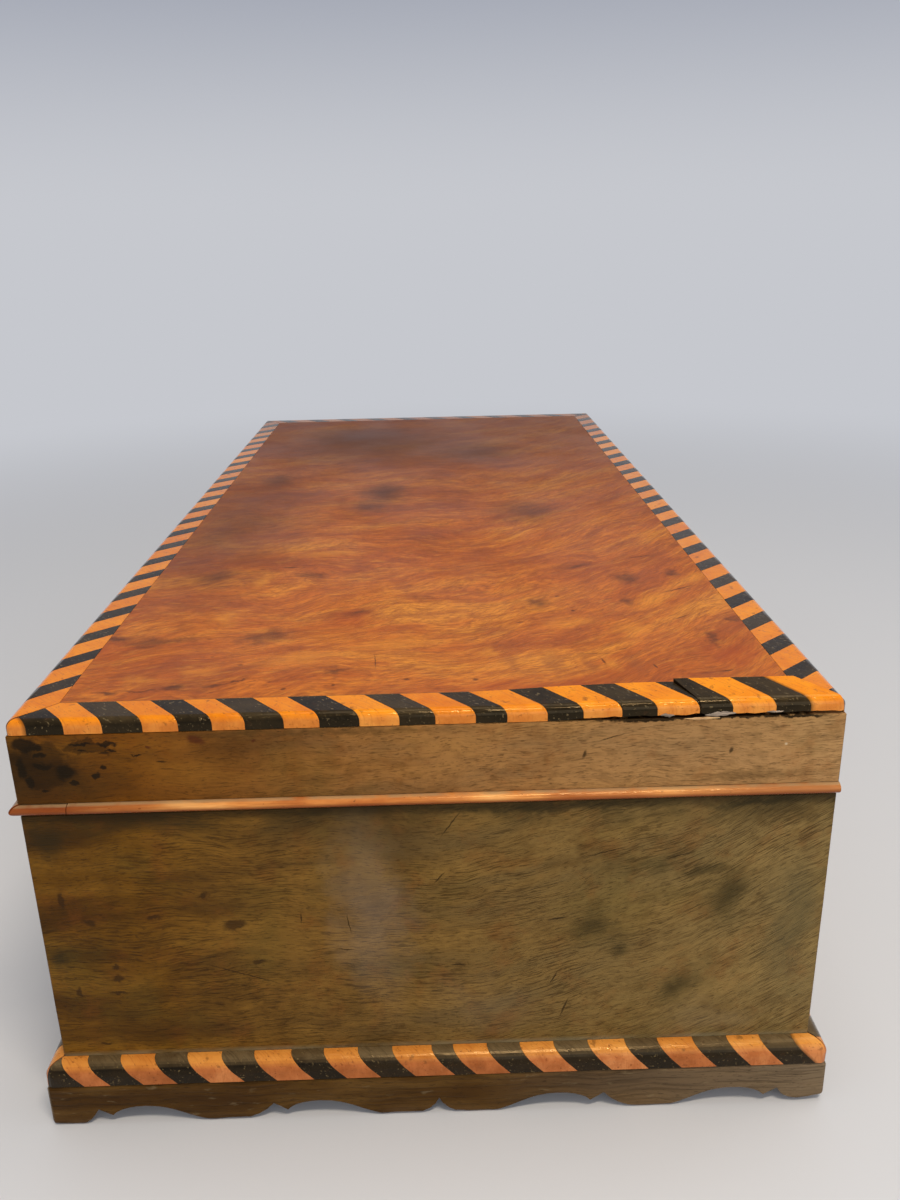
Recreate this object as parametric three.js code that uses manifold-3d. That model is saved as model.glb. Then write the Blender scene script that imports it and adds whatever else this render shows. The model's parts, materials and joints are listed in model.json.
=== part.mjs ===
// A walnut box on a scalloped plinth, with a hinged lid that is edged in two-colour diagonal banding.
// Millimetres, +Z up. +X is the long way, -Y the front with the lock, +Y the back with the hinges,
// and the origin is on the ground under the middle of the box.
import * as THREE from 'three';
import { mergeVertices } from 'three/addons/utils/BufferGeometryUtils.js';
import Module from 'manifold-3d';

const wasm = await Module();
wasm.setup();

// Outside of the lid, and how the parts below it stand in or out from its faces
const lidLength = 314;
const lidWidth = 150;
const caseInset = 0.1;
const plinthProjection = 3.15;

// Heights, from the ground up
const apronHeight = 9.6;
const baseMouldingHeight = 4.9;
const caseShowHeight = 55.3;
const beadHeight = 2.2;
const lidSideHeight = 13.9;
const lidMouldingHeight = 2.7;

// Boards
const caseWall = 8.5;
const lidWall = 8.5;
const bottomThickness = 6;
const bottomRebate = 4;
const panelThickness = 6;
const panelLip = 4.2;
const apronThickness = 9;
const glueBlockLeg = 14;
const glueBlockLift = 1.5;

// Mouldings
const lidMouldingWidth = 7.5;
const lidMouldingRound = 1.6;
const baseMouldingRise = 2.9; // height of its rounded upper part
const baseMouldingLedge = 0.5; // flat strip left against the wall
const sliceWidth = 6.75; // one slice of the banding, measured along the edge
const beadSeat = 1.7; // how deep the bead is let into the rail
const beadProjection = 1.3;

// Scalloped lower edge of the plinth
const footWidth = 9.75;
const footChamfer = 0.6;
const archRise = 4.3;
const cuspRise = 2.2;
const notchRise = 4;
const footNotchRise = 3.8;
const scallopsPerEnd = 4;
const scallopsPerSide = 8;

// Places along one scallop, as shares of its length from the bottom of one lobe to the next
const lobeShare = 0.22; // from the middle notch to the first lobe
const lobeEaseShare = 0.2;
const archEaseShare = 0.26;
const archShare = 0.46;
const archEndShare = 0.6;
const cuspShare = 0.65;
const notchShare = 0.727;
const lobeTurnShare = 0.82;
const footTurnShare = 0.22; // of the foot's width
const footFlatShare = 0.45;

// Gaps
const glueLine = 0.1; // between glued pieces of wood
const seatGap = 0.1; // round brass let into wood
const jointGap = 0.3; // between lid and case
const runningGap = 0.3; // round moving brass
const shoulderGap = 0.2; // between the hinge's stops and the wood
const overrun = 5; // how far a cutting shape runs past what it cuts

// Hinges
const hingeLength = 32;
const hingeSetback = 46; // from the lid's end to the hinge
const leafDepth = 6.2;
const leafThickness = 1.2;
const barrelRadius = 1.8;
const knuckleCount = 5;
const pinRadius = 0.85;
const pinHoleRadius = 0.95;
const pinProud = 0.4;
const stopReach = 2.1; // how far the stops stand out from the pin
const stopHeight = 4.1;
const stopChamfer = 0.5;
const stopAngle = 98; // degrees between the two stop faces with the lid shut
const weldOverlap = 0.3;

// Screws
const hingeScrewSpacing = 20;
const hingeScrewLength = 8;
const hingeScrewHead = 1.7;
const hingeScrewShank = 0.85;
const hingeScrewSink = 1;
const lockScrewLength = 5.5;
const lockScrewHead = 1.4;
const lockScrewShank = 0.7;
const lockScrewSink = 0.8;
const lockScrewInset = 2.8; // from the plate's corners
const slotWidth = 0.45;
const slotDepth = 0.4;

// Lock
const lockPlateLength = 52;
const lockPlateThickness = 1;
const lockPlateBorder = 3;
const selvedgeThickness = 1.5;
const lockBodyDepth = 5;
const lockSheet = 0.8;
const keySwing = 6.9;
const drillPinRadius = 0.8;
const stapleSpacing = 16;
const stapleDrop = 5.6;
const stapleWidth = 3.4;
const stapleThickness = 1.6;
const stapleEye = 2.2;
const stapleEyeWidth = 1.8;
const stapleBridge = 0.95;
const boltTravel = 4;
const boltHeight = 2.4;
const prongHeight = 1.4;
const prongWidth = 1.2;
const prongLength = 4;
const prongReserve = 0.3; // between the prong's tip and the staple with the bolt drawn
const hornThickness = 1.6;
const talonWidth = 4.2;
const talonDepth = 1.2;
const linkPlateThickness = 1.5;
const linkPlateWidth = 5.4;
const linkPlateInset = 0.6; // from the rail's inner face

// Keyhole
const keyholeRadius = 1.9;
const keySlotWidth = 1.8;
const keySlotDrop = 5.2;
const linerWall = 0.7;
const linerProud = 0.15;

// Fineness of round shapes
const mouldingSteps = 4;
const beadSteps = 6;
const lobeSteps = 9;
const cuspSteps = 5;
const barrelSides = 20;
const pinSides = 14;
const screwSides = 12;
const keyholeSteps = 10;
const mergeDistance = 1e-4;

// Levels worked out from the heights
const baseMouldingFoot = apronHeight + glueLine;
const baseMouldingTop = apronHeight + baseMouldingHeight;
const jointLevel = baseMouldingTop + caseShowHeight;
const caseFoot = apronHeight + glueLine;
const caseTop = jointLevel - jointGap / 2;
const lidFoot = jointLevel + jointGap / 2;
const beadTop = jointLevel + beadHeight;
const lidMouldingFoot = beadTop + lidSideHeight;
const lidTop = lidMouldingFoot + lidMouldingHeight;
const railTop = lidMouldingFoot - glueLine;
const panelFoot = lidTop - panelThickness;

// The four sides. Each has a frame of its own with X along it, Y straight out and Z up. Face is how
// far the lid's face is from the middle, and excess is how much longer the side is than the distance
// to it, which puts every mitre on the same four diagonals.
const longExcess = (lidLength - lidWidth) / 2;
const sides = [
  { name: 'back', turn: 0, face: lidWidth / 2, excess: longExcess, scallops: scallopsPerSide },
  { name: 'right', turn: -Math.PI / 2, face: lidLength / 2, excess: -longExcess, scallops: scallopsPerEnd },
  { name: 'front', turn: Math.PI, face: lidWidth / 2, excess: longExcess, scallops: scallopsPerSide },
  { name: 'left', turn: Math.PI / 2, face: lidLength / 2, excess: -longExcess, scallops: scallopsPerEnd },
];
const mitreGap = glueLine / Math.SQRT2;
const mitred = (side) => (out) => [mitreGap - out - side.excess, out + side.excess - mitreGap];

// Finishes, with the colours of the photographed box
const walnut = { color: 0x76552f, roughness: 0.45, metalness: 0 };
const figuredWalnut = { color: 0xa85a2a, roughness: 0.32, metalness: 0 };
const secondaryWood = { color: 0x8a6238, roughness: 0.7, metalness: 0 };
const beadWood = { color: 0xc06f35, roughness: 0.4, metalness: 0 };
const banding = { color: 0xffffff, roughness: 0.35, metalness: 0, vertexColors: true };
const brass = { color: 0xb08a45, roughness: 0.35, metalness: 1 };
const steel = { color: 0x6f6d68, roughness: 0.45, metalness: 1 };
const bandingColours = [new THREE.Color(0xe08a3a), new THREE.Color(0x35291f)];

function piece(name, geometry, finish) {
  const mesh = new THREE.Mesh(geometry, new THREE.MeshStandardMaterial(finish));
  geometry.computeVertexNormals();
  mesh.name = name;
  return mesh;
}

// Joining and cutting closed shapes
function solid(geometry) {
  const bare = new THREE.BufferGeometry();
  bare.setAttribute('position', geometry.getAttribute('position'));
  bare.setIndex(geometry.index);
  const merged = mergeVertices(bare, mergeDistance);
  const corners = merged.index.array;
  const kept = [];
  for (let i = 0; i < corners.length; i += 3) {
    const [a, b, c] = [corners[i], corners[i + 1], corners[i + 2]];
    if (a !== b && b !== c && c !== a) kept.push(a, b, c);
  }
  const vertProperties = merged.getAttribute('position').array;
  return new wasm.Manifold(new wasm.Mesh({ numProp: 3, vertProperties, triVerts: new Uint32Array(kept) }));
}

function shapeOf(body) {
  const { vertProperties, triVerts } = body.getMesh();
  const geometry = new THREE.BufferGeometry();
  geometry.setAttribute('position', new THREE.BufferAttribute(vertProperties, 3));
  geometry.setIndex(new THREE.BufferAttribute(triVerts, 1));
  return geometry.toNonIndexed();
}

const join = (first, ...rest) => shapeOf(rest.reduce((body, next) => body.add(solid(next)), solid(first)));
const cut = (first, ...tools) => shapeOf(tools.reduce((body, tool) => body.subtract(solid(tool)), solid(first)));
const common = (first, second) => shapeOf(solid(first).intersect(solid(second)));
const moved = (geometry, x, y, z) => geometry.clone().translate(x, y, z);

// Simple shapes
function block([x0, y0, z0], [x1, y1, z1]) {
  const geometry = new THREE.BoxGeometry(x1 - x0, y1 - y0, z1 - z0);
  return geometry.translate((x0 + x1) / 2, (y0 + y1) / 2, (z0 + z1) / 2);
}

function rodAlongX(radius, start, end, steps) {
  const geometry = new THREE.CylinderGeometry(radius, radius, end - start, steps);
  return geometry.rotateZ(Math.PI / 2).translate((start + end) / 2, 0, 0);
}

function rodAlongY(radius, start, end, steps) {
  const geometry = new THREE.CylinderGeometry(radius, radius, end - start, steps);
  return geometry.translate(0, (start + end) / 2, 0);
}

// An outline in the X-Z plane, given thickness from one distance out to another
function slab(shape, start, end, steps) {
  const geometry = new THREE.ExtrudeGeometry(shape, {
    depth: end - start,
    bevelEnabled: false,
    curveSegments: steps,
  });
  return geometry.rotateX(Math.PI / 2).translate(0, end, 0);
}

const outline = (...pairs) => pairs.map(([out, up]) => new THREE.Vector2(out, up));

// The points of a quarter turn from straight out to straight up, round a corner's middle
function quarterRound(out, up, reachOut, reachUp, steps) {
  return Array.from({ length: steps + 1 }, (_, i) => {
    const angle = (i / steps) * (Math.PI / 2);
    return [out + reachOut * Math.cos(angle), up + reachUp * Math.sin(angle)];
  });
}

// A strip with one section all along a side. The section is an outline of [out, up] points, and ends
// gives where the strip starts and stops for a point that far out. Cuts divide it into slices, whose
// planes lean as slant says, and each slice takes one of the two banding colours in turn.
function strip(section, ends, cuts = [], slant = () => 0) {
  const points = THREE.ShapeUtils.area(section) < 0 ? [...section].reverse() : section;
  const rings = [-Infinity, ...cuts, Infinity].map((cutAt) =>
    points.map((point) => {
      const [start, end] = ends(point.x);
      return new THREE.Vector3(THREE.MathUtils.clamp(cutAt + slant(point), start, end), point.x, point.y);
    }),
  );
  const positions = [];
  const colours = [];
  const face = (a, b, c, slice) => {
    if (a.equals(b) || b.equals(c) || c.equals(a)) return;
    for (const corner of [a, b, c]) {
      positions.push(...corner.toArray());
      colours.push(...bandingColours[slice % bandingColours.length].toArray());
    }
  };
  for (let slice = 0; slice + 1 < rings.length; slice += 1) {
    points.forEach((_, k) => {
      const next = (k + 1) % points.length;
      const [near, far] = [rings[slice], rings[slice + 1]];
      face(near[k], near[next], far[next], slice);
      face(near[k], far[next], far[k], slice);
    });
  }
  for (const triangle of THREE.ShapeUtils.triangulateShape(points, [])) {
    const [a, b, c] = THREE.ShapeUtils.area(triangle.map((i) => points[i])) < 0 ? [...triangle].reverse() : triangle;
    const [first, last] = [rings[0], rings[rings.length - 1]];
    face(first[c], first[b], first[a], 0);
    face(last[a], last[b], last[c], rings.length - 2);
  }
  const geometry = new THREE.BufferGeometry();
  geometry.setAttribute('position', new THREE.Float32BufferAttribute(positions, 3));
  geometry.setAttribute('color', new THREE.Float32BufferAttribute(colours, 3));
  return geometry;
}

// Where the banding is sawn, so that a slice of the wanted colour lies in the middle of the side
function bandingCuts(halfLength, darkInMiddle) {
  const count = 2 * Math.ceil(halfLength / sliceWidth / 2) + (darkInMiddle ? 0 : 1);
  return Array.from({ length: 2 * count }, (_, i) => (i - count + 1 / 2) * sliceWidth);
}

// Case
function caseBoard({ face, ...side }) {
  const outer = face - caseInset;
  const inner = outer - caseWall;
  const step = caseFoot + bottomThickness + glueLine;
  const section = outline(
    [inner + bottomRebate, caseFoot],
    [outer, caseFoot],
    [outer, caseTop],
    [inner, caseTop],
    [inner, step],
    [inner + bottomRebate, step],
  );
  return strip(section, mitred(side));
}

function caseBottom() {
  const edge = bottomRebate - caseInset - caseWall - glueLine;
  const corner = [lidLength / 2 + edge, lidWidth / 2 + edge];
  return block([-corner[0], -corner[1], caseFoot], [...corner, caseFoot + bottomThickness]);
}

// Plinth: a scalloped apron under each wall, with a glue block in each corner behind them
function scallopedOutline(side) {
  const outer = side.face + plinthProjection;
  const end = outer + side.excess;
  const units = side.scallops / 2;
  const length = (end - footWidth) / (units - 1 + lobeShare + notchShare);
  const half = new THREE.Path();
  half.moveTo(0, notchRise);
  half.quadraticCurveTo(length * (lobeTurnShare + lobeShare - 1), 0, length * lobeShare, 0);
  for (let i = 0; i < units; i += 1) {
    const at = (share) => length * (i + lobeShare + share);
    half.bezierCurveTo(at(lobeEaseShare), 0, at(archEaseShare), archRise, at(archShare), archRise);
    half.quadraticCurveTo(at(archEndShare), archRise, at(cuspShare), cuspRise);
    if (i + 1 < units) {
      half.lineTo(at(notchShare), notchRise);
      half.quadraticCurveTo(at(lobeTurnShare), 0, at(1), 0);
    } else {
      half.lineTo(at(notchShare), footNotchRise);
    }
  }
  const footStart = end - footWidth;
  half.quadraticCurveTo(footStart + footWidth * footTurnShare, 0, footStart + footWidth * footFlatShare, 0);
  half.lineTo(end - footChamfer, 0);
  half.lineTo(end, footChamfer);
  half.lineTo(end, apronHeight);
  const points = half.curves.flatMap((curve) => {
    const steps = { CubicBezierCurve: lobeSteps, QuadraticBezierCurve: cuspSteps }[curve.type] ?? 1;
    return curve.getPoints(steps).slice(1);
  });
  const mirrored = points.map((point) => new THREE.Vector2(-point.x, point.y)).reverse();
  return new THREE.Shape([...mirrored, new THREE.Vector2(0, notchRise), ...points]);
}

function apron(side) {
  const outer = side.face + plinthProjection;
  const inner = outer - apronThickness;
  const board = outline([inner, 0], [outer, 0], [outer, apronHeight], [inner, apronHeight]);
  const pattern = slab(scallopedOutline(side), inner - overrun, outer + overrun, 1);
  return common(pattern, strip(board, mitred(side)));
}

function glueBlock() {
  const plan = new THREE.Shape(outline([0, 0], [-glueBlockLeg, 0], [0, -glueBlockLeg]));
  const geometry = new THREE.ExtrudeGeometry(plan, { depth: apronHeight - glueBlockLift, bevelEnabled: false });
  return geometry.translate(0, 0, glueBlockLift);
}

function glueBlocks() {
  const inset = plinthProjection - apronThickness - glueLine;
  const x = lidLength / 2 + inset;
  const y = lidWidth / 2 + inset;
  const corners = { back_right: [x, y], back_left: [-x, y], front_left: [-x, -y], front_right: [x, -y] };
  return Object.entries(corners).map(([name, [cornerX, cornerY]], quarter) => {
    const mesh = piece(`glue_block_${name}`, glueBlock(), secondaryWood);
    mesh.position.set(cornerX, cornerY, 0);
    mesh.rotation.z = (quarter * Math.PI) / 2;
    return mesh;
  });
}

// Banded mouldings, glued up from slices of two woods. The base moulding's slices lean along the wall
// as they rise, and the lid moulding's lean as they go out, so that both look like twisted ribbon.
function baseMoulding({ face, ...side }) {
  const inner = face - caseInset + glueLine;
  const outer = face + plinthProjection;
  const shoulder = baseMouldingTop - baseMouldingRise;
  const reach = outer - inner - baseMouldingLedge;
  const section = outline(
    [inner, baseMouldingFoot],
    [outer, baseMouldingFoot],
    ...quarterRound(outer - reach, shoulder, reach, baseMouldingRise, mouldingSteps),
    [inner, baseMouldingTop],
  );
  const cuts = bandingCuts(outer + side.excess + sliceWidth, false);
  return strip(section, mitred(side), cuts, (point) => point.y - baseMouldingFoot);
}

function lidMoulding({ face, ...side }) {
  const inner = face - lidMouldingWidth;
  const turnOut = face - lidMouldingRound;
  const turnUp = lidTop - lidMouldingRound;
  const section = outline(
    [inner, lidMouldingFoot],
    [face, lidMouldingFoot],
    ...quarterRound(turnOut, turnUp, lidMouldingRound, lidMouldingRound, mouldingSteps),
    [inner, lidTop],
  );
  const cuts = bandingCuts(face + side.excess + sliceWidth, true);
  return strip(section, mitred(side), cuts, (point) => face - point.x);
}

// Lid
function lidRail({ face, name, ...side }) {
  const inner = face - lidWall;
  const seat = face - beadSeat - glueLine;
  const seatTop = beadTop + glueLine;
  const lip = inner + panelLip + glueLine;
  const ledge = panelFoot - glueLine;
  const lowerEdge = name === 'back' ? [[face, lidFoot]] : [[seat, lidFoot], [seat, seatTop], [face, seatTop]];
  const section = outline([inner, lidFoot], ...lowerEdge, [face, railTop], [lip, railTop], [lip, ledge], [inner, ledge]);
  return strip(section, mitred(side));
}

function lidPanel() {
  const lip = panelLip - lidWall;
  const field = -lidMouldingWidth - glueLine;
  const layer = (edge, top) =>
    block([-lidLength / 2 - edge, -lidWidth / 2 - edge, panelFoot], [lidLength / 2 + edge, lidWidth / 2 + edge, top]);
  return join(layer(lip, railTop), layer(field, lidTop));
}

// The bead hides the joint on the front and the ends. On the ends it stops square at the back face.
function bead({ face, name, ...side }) {
  const seat = face - beadSeat;
  const middle = (lidFoot + beadTop) / 2;
  const rise = (beadTop - lidFoot) / 2;
  const nose = Array.from({ length: beadSteps + 1 }, (_, i) => {
    const angle = (i / beadSteps - 1 / 2) * Math.PI;
    return [face + beadProjection * Math.cos(angle), middle + rise * Math.sin(angle)];
  });
  const section = outline([seat, lidFoot], ...nose, [seat, beadTop]);
  const backFace = face + side.excess;
  const ends = (out) => {
    const [start, end] = mitred(side)(out);
    return [name === 'right' ? -backFace : start, name === 'left' ? backFace : end];
  };
  return strip(section, ends);
}

// Screws point down, with the top of the head at the origin
function screwShape(length, head, shank, sink, above) {
  const profile = outline([0, -length], [shank, shank - length], [shank, -sink], [head, 0]);
  const top = above > 0 ? outline([head, above], [0, above]) : outline([0, 0]);
  return new THREE.LatheGeometry([...profile, ...top], screwSides).rotateX(Math.PI / 2);
}

function screw(length, head, shank, sink) {
  const slot = block([-head - overrun, -slotWidth / 2, -slotDepth], [head + overrun, slotWidth / 2, overrun]);
  return cut(screwShape(length, head, shank, sink, 0), slot);
}

const screwHole = (length, head, shank, sink) =>
  screwShape(length + seatGap, head + seatGap, shank + seatGap, sink, overrun);

const hingeScrewSizes = [hingeScrewLength, hingeScrewHead, hingeScrewShank, hingeScrewSink];
const lockScrewSizes = [lockScrewLength, lockScrewHead, lockScrewShank, lockScrewSink];

// Hinges. Their frame is at the middle of the pin, which lies in the plane of the lid's back face.
// Side is -1 for the case's leaf and 1 for the lid's. Behind the barrel each leaf has a bevelled stop,
// and the two bevels meet when the lid stands open.
const hingeAxis = { y: lidWidth / 2, z: jointLevel };
const hingeX = lidLength / 2 - hingeSetback - hingeLength / 2;
const screwPlace = -(leafDepth + barrelRadius + runningGap) / 2;
const barrelRoom = barrelRadius + runningGap;

function knuckles(side) {
  const length = hingeLength / knuckleCount;
  const kept = Array.from({ length: knuckleCount }, (_, i) => i).filter((i) => (i % 2 === 0) === side < 0);
  return kept.map((i) => {
    const start = i * length - hingeLength / 2 + (i > 0 ? runningGap / 2 : 0);
    const end = (i + 1) * length - hingeLength / 2 - (i + 1 < knuckleCount ? runningGap / 2 : 0);
    return [start, end];
  });
}

function hingeLeaf(side) {
  const stop = THREE.MathUtils.degToRad(stopAngle / 2);
  const along = (start, end) => () => [start, end];
  const whole = along(-hingeLength / 2, hingeLength / 2);
  const plateNear = (side * jointGap) / 2;
  const plateFar = plateNear + side * leafThickness;
  const shoulderBack = side < 0 ? shoulderGap - caseInset : shoulderGap;
  const bevelPoint = (radius) => [radius * Math.cos(stop), side * radius * Math.sin(stop)];
  const plate = outline([-leafDepth, plateNear], [0, plateNear], [0, plateFar], [-leafDepth, plateFar]);
  const shoulder = outline(
    bevelPoint(barrelRoom),
    bevelPoint(stopReach / Math.cos(stop)),
    [stopReach, side * (stopHeight - stopChamfer)],
    [stopReach - stopChamfer, side * stopHeight],
    [shoulderBack, side * stopHeight],
    [shoulderBack, side * barrelRoom],
  );
  const plateRoot = -barrelRoom - weldOverlap;
  const neck = outline([plateRoot, plateNear], [0, plateNear], [0, plateFar], [plateRoot, plateFar]);
  const webReach = barrelRoom + weldOverlap;
  const web = outline([0, 0], bevelPoint(webReach), [shoulderBack, side * webReach]);
  const room = rodAlongX(barrelRoom, -hingeLength / 2 - overrun, hingeLength / 2 + overrun, barrelSides);
  let leaf = cut(join(strip(plate, whole), strip(shoulder, whole)), room);
  for (const [start, end] of knuckles(side)) {
    const barrel = rodAlongX(barrelRadius, start, end, barrelSides);
    leaf = join(leaf, barrel, strip(neck, along(start, end)), strip(web, along(start, end)));
  }
  const pinHole = rodAlongX(pinHoleRadius, -hingeLength / 2 - overrun, hingeLength / 2 + overrun, pinSides);
  return cut(leaf, pinHole, ...hingeScrewHoles(side));
}

function hingeScrewHoles(side) {
  return [-1, 1].map((end) => {
    const hole = screwHole(...hingeScrewSizes);
    if (side > 0) hole.rotateX(Math.PI);
    return moved(hole, (end * hingeScrewSpacing) / 2, screwPlace, (side * jointGap) / 2);
  });
}

// What a board loses to take one leaf, in the hinge's frame
function hingeSeat(side) {
  const halfLength = hingeLength / 2 + seatGap;
  const depth = side * (jointGap / 2 + leafThickness + seatGap);
  const [low, high] = side < 0 ? [depth, overrun] : [-overrun, depth];
  const halfPin = hingeLength / 2 + pinProud + seatGap;
  return [
    block([-halfLength, -leafDepth - seatGap, low], [halfLength, overrun, high]),
    rodAlongX(barrelRoom, -halfPin, halfPin, barrelSides),
    ...hingeScrewHoles(side),
  ];
}

const hingeSeats = (side) =>
  [-hingeX, hingeX].flatMap((x) => hingeSeat(side).map((tool) => moved(tool, x, hingeAxis.y, hingeAxis.z)));

function hingeHalf(name, side) {
  const leafName = side < 0 ? 'case' : 'lid';
  const group = new THREE.Group();
  group.position.set(name === 'left' ? -hingeX : hingeX, hingeAxis.y, hingeAxis.z);
  group.add(piece(`${name}_hinge_${leafName}_leaf`, hingeLeaf(side), brass));
  if (side < 0) {
    const pin = rodAlongX(pinRadius, -hingeLength / 2 - pinProud, hingeLength / 2 + pinProud, pinSides);
    group.add(piece(`${name}_hinge_pin`, pin, steel));
  }
  [-1, 1].forEach((end, i) => {
    const mesh = piece(`${name}_hinge_${leafName}_screw_${i + 1}`, screw(...hingeScrewSizes), brass);
    mesh.position.set((end * hingeScrewSpacing) / 2, screwPlace, (side * jointGap) / 2);
    mesh.rotation.x = side > 0 ? Math.PI : 0;
    group.add(mesh);
  });
  return group;
}

// Lock, in the front's frame: a plate let in flush with the wall's inner face, with a selvedge along
// the case's top edge, and a body behind it for the bolt and the key. Two staples on the lid come down
// through the selvedge, and the bolt slides sideways to put a prong through each.
const frontFace = lidWidth / 2 - caseInset;
const lockInner = frontFace - caseWall;
const lockRoomStart = lockInner + lockPlateThickness;
const lockBodyOuter = lockRoomStart + lockBodyDepth;
const lockRoomEnd = lockBodyOuter - lockSheet;
const lockMiddle = (lockRoomStart + lockRoomEnd) / 2;
const selvedgeFoot = caseTop - selvedgeThickness;
const stapleFoot = lidFoot - stapleDrop;
const boltTop = stapleFoot - runningGap;
const boltFoot = boltTop - boltHeight;
const keyLevel = boltFoot + talonDepth - keySwing;
const lockBodyFoot = keyLevel - keySwing - lockSheet;
const lockPlateFoot = lockBodyFoot - lockPlateBorder;
const prongTip = -stapleThickness / 2 - prongReserve; // beside a staple, with the bolt drawn
const hornStart = prongTip - prongLength - hornThickness;
const lockRoomHalf = stapleSpacing / 2 - hornStart + runningGap;
const lockBodyHalf = lockRoomHalf + lockSheet;
const prongLevel = stapleFoot + stapleBridge + stapleEye / 2;
const staplePlaces = [-stapleSpacing / 2, stapleSpacing / 2];

function keyholeOutline(grow) {
  const radius = keyholeRadius + grow;
  const half = keySlotWidth / 2 + grow;
  const meet = Math.asin(half / radius);
  const shape = new THREE.Shape();
  shape.absarc(0, keyLevel, radius, meet - Math.PI / 2, (3 * Math.PI) / 2 - meet);
  shape.lineTo(-half, keyLevel - keySlotDrop - grow);
  shape.lineTo(half, keyLevel - keySlotDrop - grow);
  return shape;
}

function lockScrewPlaces() {
  const x = lockPlateLength / 2 - lockScrewInset;
  const levels = [lockPlateFoot + lockScrewInset, selvedgeFoot - lockScrewInset];
  return levels.flatMap((level) => [[-x, level], [x, level]]);
}

const lockScrewHoles = () =>
  lockScrewPlaces().map(([x, z]) => moved(screwHole(...lockScrewSizes).rotateX(Math.PI / 2), x, lockInner, z));

function lockCase() {
  const half = lockPlateLength / 2;
  const plate = block([-half, lockInner, lockPlateFoot], [half, lockRoomStart, caseTop]);
  const selvedge = block([-half, lockInner, selvedgeFoot], [half, lockBodyOuter, caseTop]);
  const body = block([-lockBodyHalf, lockInner, lockBodyFoot], [lockBodyHalf, lockBodyOuter, caseTop]);
  const boltRoom = block([-lockRoomHalf, lockRoomStart, boltFoot - runningGap], [lockRoomHalf, lockRoomEnd, selvedgeFoot]);
  const keyRoom = moved(rodAlongY(keySwing, lockRoomStart, lockRoomEnd, barrelSides), 0, 0, keyLevel);
  const slots = staplePlaces.map((x) => {
    const slotHalf = stapleThickness / 2 + runningGap;
    return block([x - slotHalf, lockRoomStart, boltFoot], [x + slotHalf, lockRoomEnd, caseTop + overrun]);
  });
  const keyhole = slab(keyholeOutline(0), lockMiddle, lockBodyOuter + overrun, keyholeSteps);
  const drillPin = moved(rodAlongY(drillPinRadius, lockInner, lockBodyOuter, screwSides), 0, 0, keyLevel);
  const shell = cut(join(plate, selvedge, body), boltRoom, keyRoom, ...slots, keyhole, ...lockScrewHoles());
  return join(shell, drillPin);
}

function lockBolt() {
  const reach = (lockRoomEnd - lockRoomStart) / 2 - runningGap / 2;
  const start = hornStart - stapleSpacing / 2;
  const end = hornStart + hornThickness + stapleSpacing / 2;
  const bar = block([start, lockMiddle - reach, boltFoot], [end, lockMiddle + reach, boltTop]);
  const hooks = staplePlaces.flatMap((x) => [
    block(
      [x + hornStart, lockMiddle - prongWidth / 2, boltFoot],
      [x + hornStart + hornThickness, lockMiddle + prongWidth / 2, prongLevel + prongHeight / 2],
    ),
    block(
      [x + hornStart, lockMiddle - prongWidth / 2, prongLevel - prongHeight / 2],
      [x + prongTip, lockMiddle + prongWidth / 2, prongLevel + prongHeight / 2],
    ),
  ]);
  const talonMiddle = -boltTravel / 2;
  const talon = block(
    [talonMiddle - talonWidth / 2, lockInner, boltFoot - overrun],
    [talonMiddle + talonWidth / 2, lockBodyOuter, boltFoot + talonDepth],
  );
  return cut(join(bar, ...hooks), talon);
}

function linkPlateScrewPlaces() {
  const x = lockPlateLength / 2 - lockScrewInset;
  return [-x, x];
}

const linkPlateInner = lidWidth / 2 - lidWall + linkPlateInset;
const linkPlateMiddle = linkPlateInner + linkPlateWidth / 2;
const linkScrewHoles = () =>
  linkPlateScrewPlaces().map((x) => moved(screwHole(...lockScrewSizes).rotateX(Math.PI), x, linkPlateMiddle, lidFoot));

function linkPlate() {
  const half = lockPlateLength / 2;
  const plate = block([-half, linkPlateInner, lidFoot], [half, linkPlateInner + linkPlateWidth, lidFoot + linkPlateThickness]);
  const staples = staplePlaces.map((x) =>
    block(
      [x - stapleThickness / 2, lockMiddle - stapleWidth / 2, stapleFoot],
      [x + stapleThickness / 2, lockMiddle + stapleWidth / 2, lidFoot + linkPlateThickness],
    ),
  );
  const eyes = staplePlaces.map((x) =>
    block(
      [x - stapleThickness, lockMiddle - stapleEyeWidth / 2, prongLevel - stapleEye / 2],
      [x + stapleThickness, lockMiddle + stapleEyeWidth / 2, prongLevel + stapleEye / 2],
    ),
  );
  return cut(join(plate, ...staples), ...eyes, ...linkScrewHoles());
}

function keyholeLiner() {
  const outer = slab(keyholeOutline(linerWall), lockBodyOuter + seatGap, frontFace + linerProud, keyholeSteps);
  const inner = slab(keyholeOutline(0), lockBodyOuter - overrun, frontFace + overrun, keyholeSteps);
  return cut(outer, inner);
}

// What the front wall and the front rail lose to take the lock and the link plate
function lockSeat() {
  const half = lockPlateLength / 2 + seatGap;
  const bodyHalf = lockBodyHalf + seatGap;
  const outer = lockBodyOuter + seatGap;
  return [
    block([-half, lockInner - overrun, lockPlateFoot - seatGap], [half, lockRoomStart + seatGap, caseTop + overrun]),
    block([-half, lockInner - overrun, selvedgeFoot - seatGap], [half, outer, caseTop + overrun]),
    block([-bodyHalf, lockInner - overrun, lockBodyFoot - seatGap], [bodyHalf, outer, caseTop + overrun]),
    slab(keyholeOutline(linerWall + seatGap), lockMiddle, frontFace + overrun, keyholeSteps),
    ...lockScrewHoles(),
  ];
}

function linkPlateSeat() {
  const half = lockPlateLength / 2 + seatGap;
  const far = linkPlateInner + linkPlateWidth + seatGap;
  const top = lidFoot + linkPlateThickness + seatGap;
  return [block([-half, linkPlateInner - seatGap, lidFoot - overrun], [half, far, top]), ...linkScrewHoles()];
}

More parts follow.
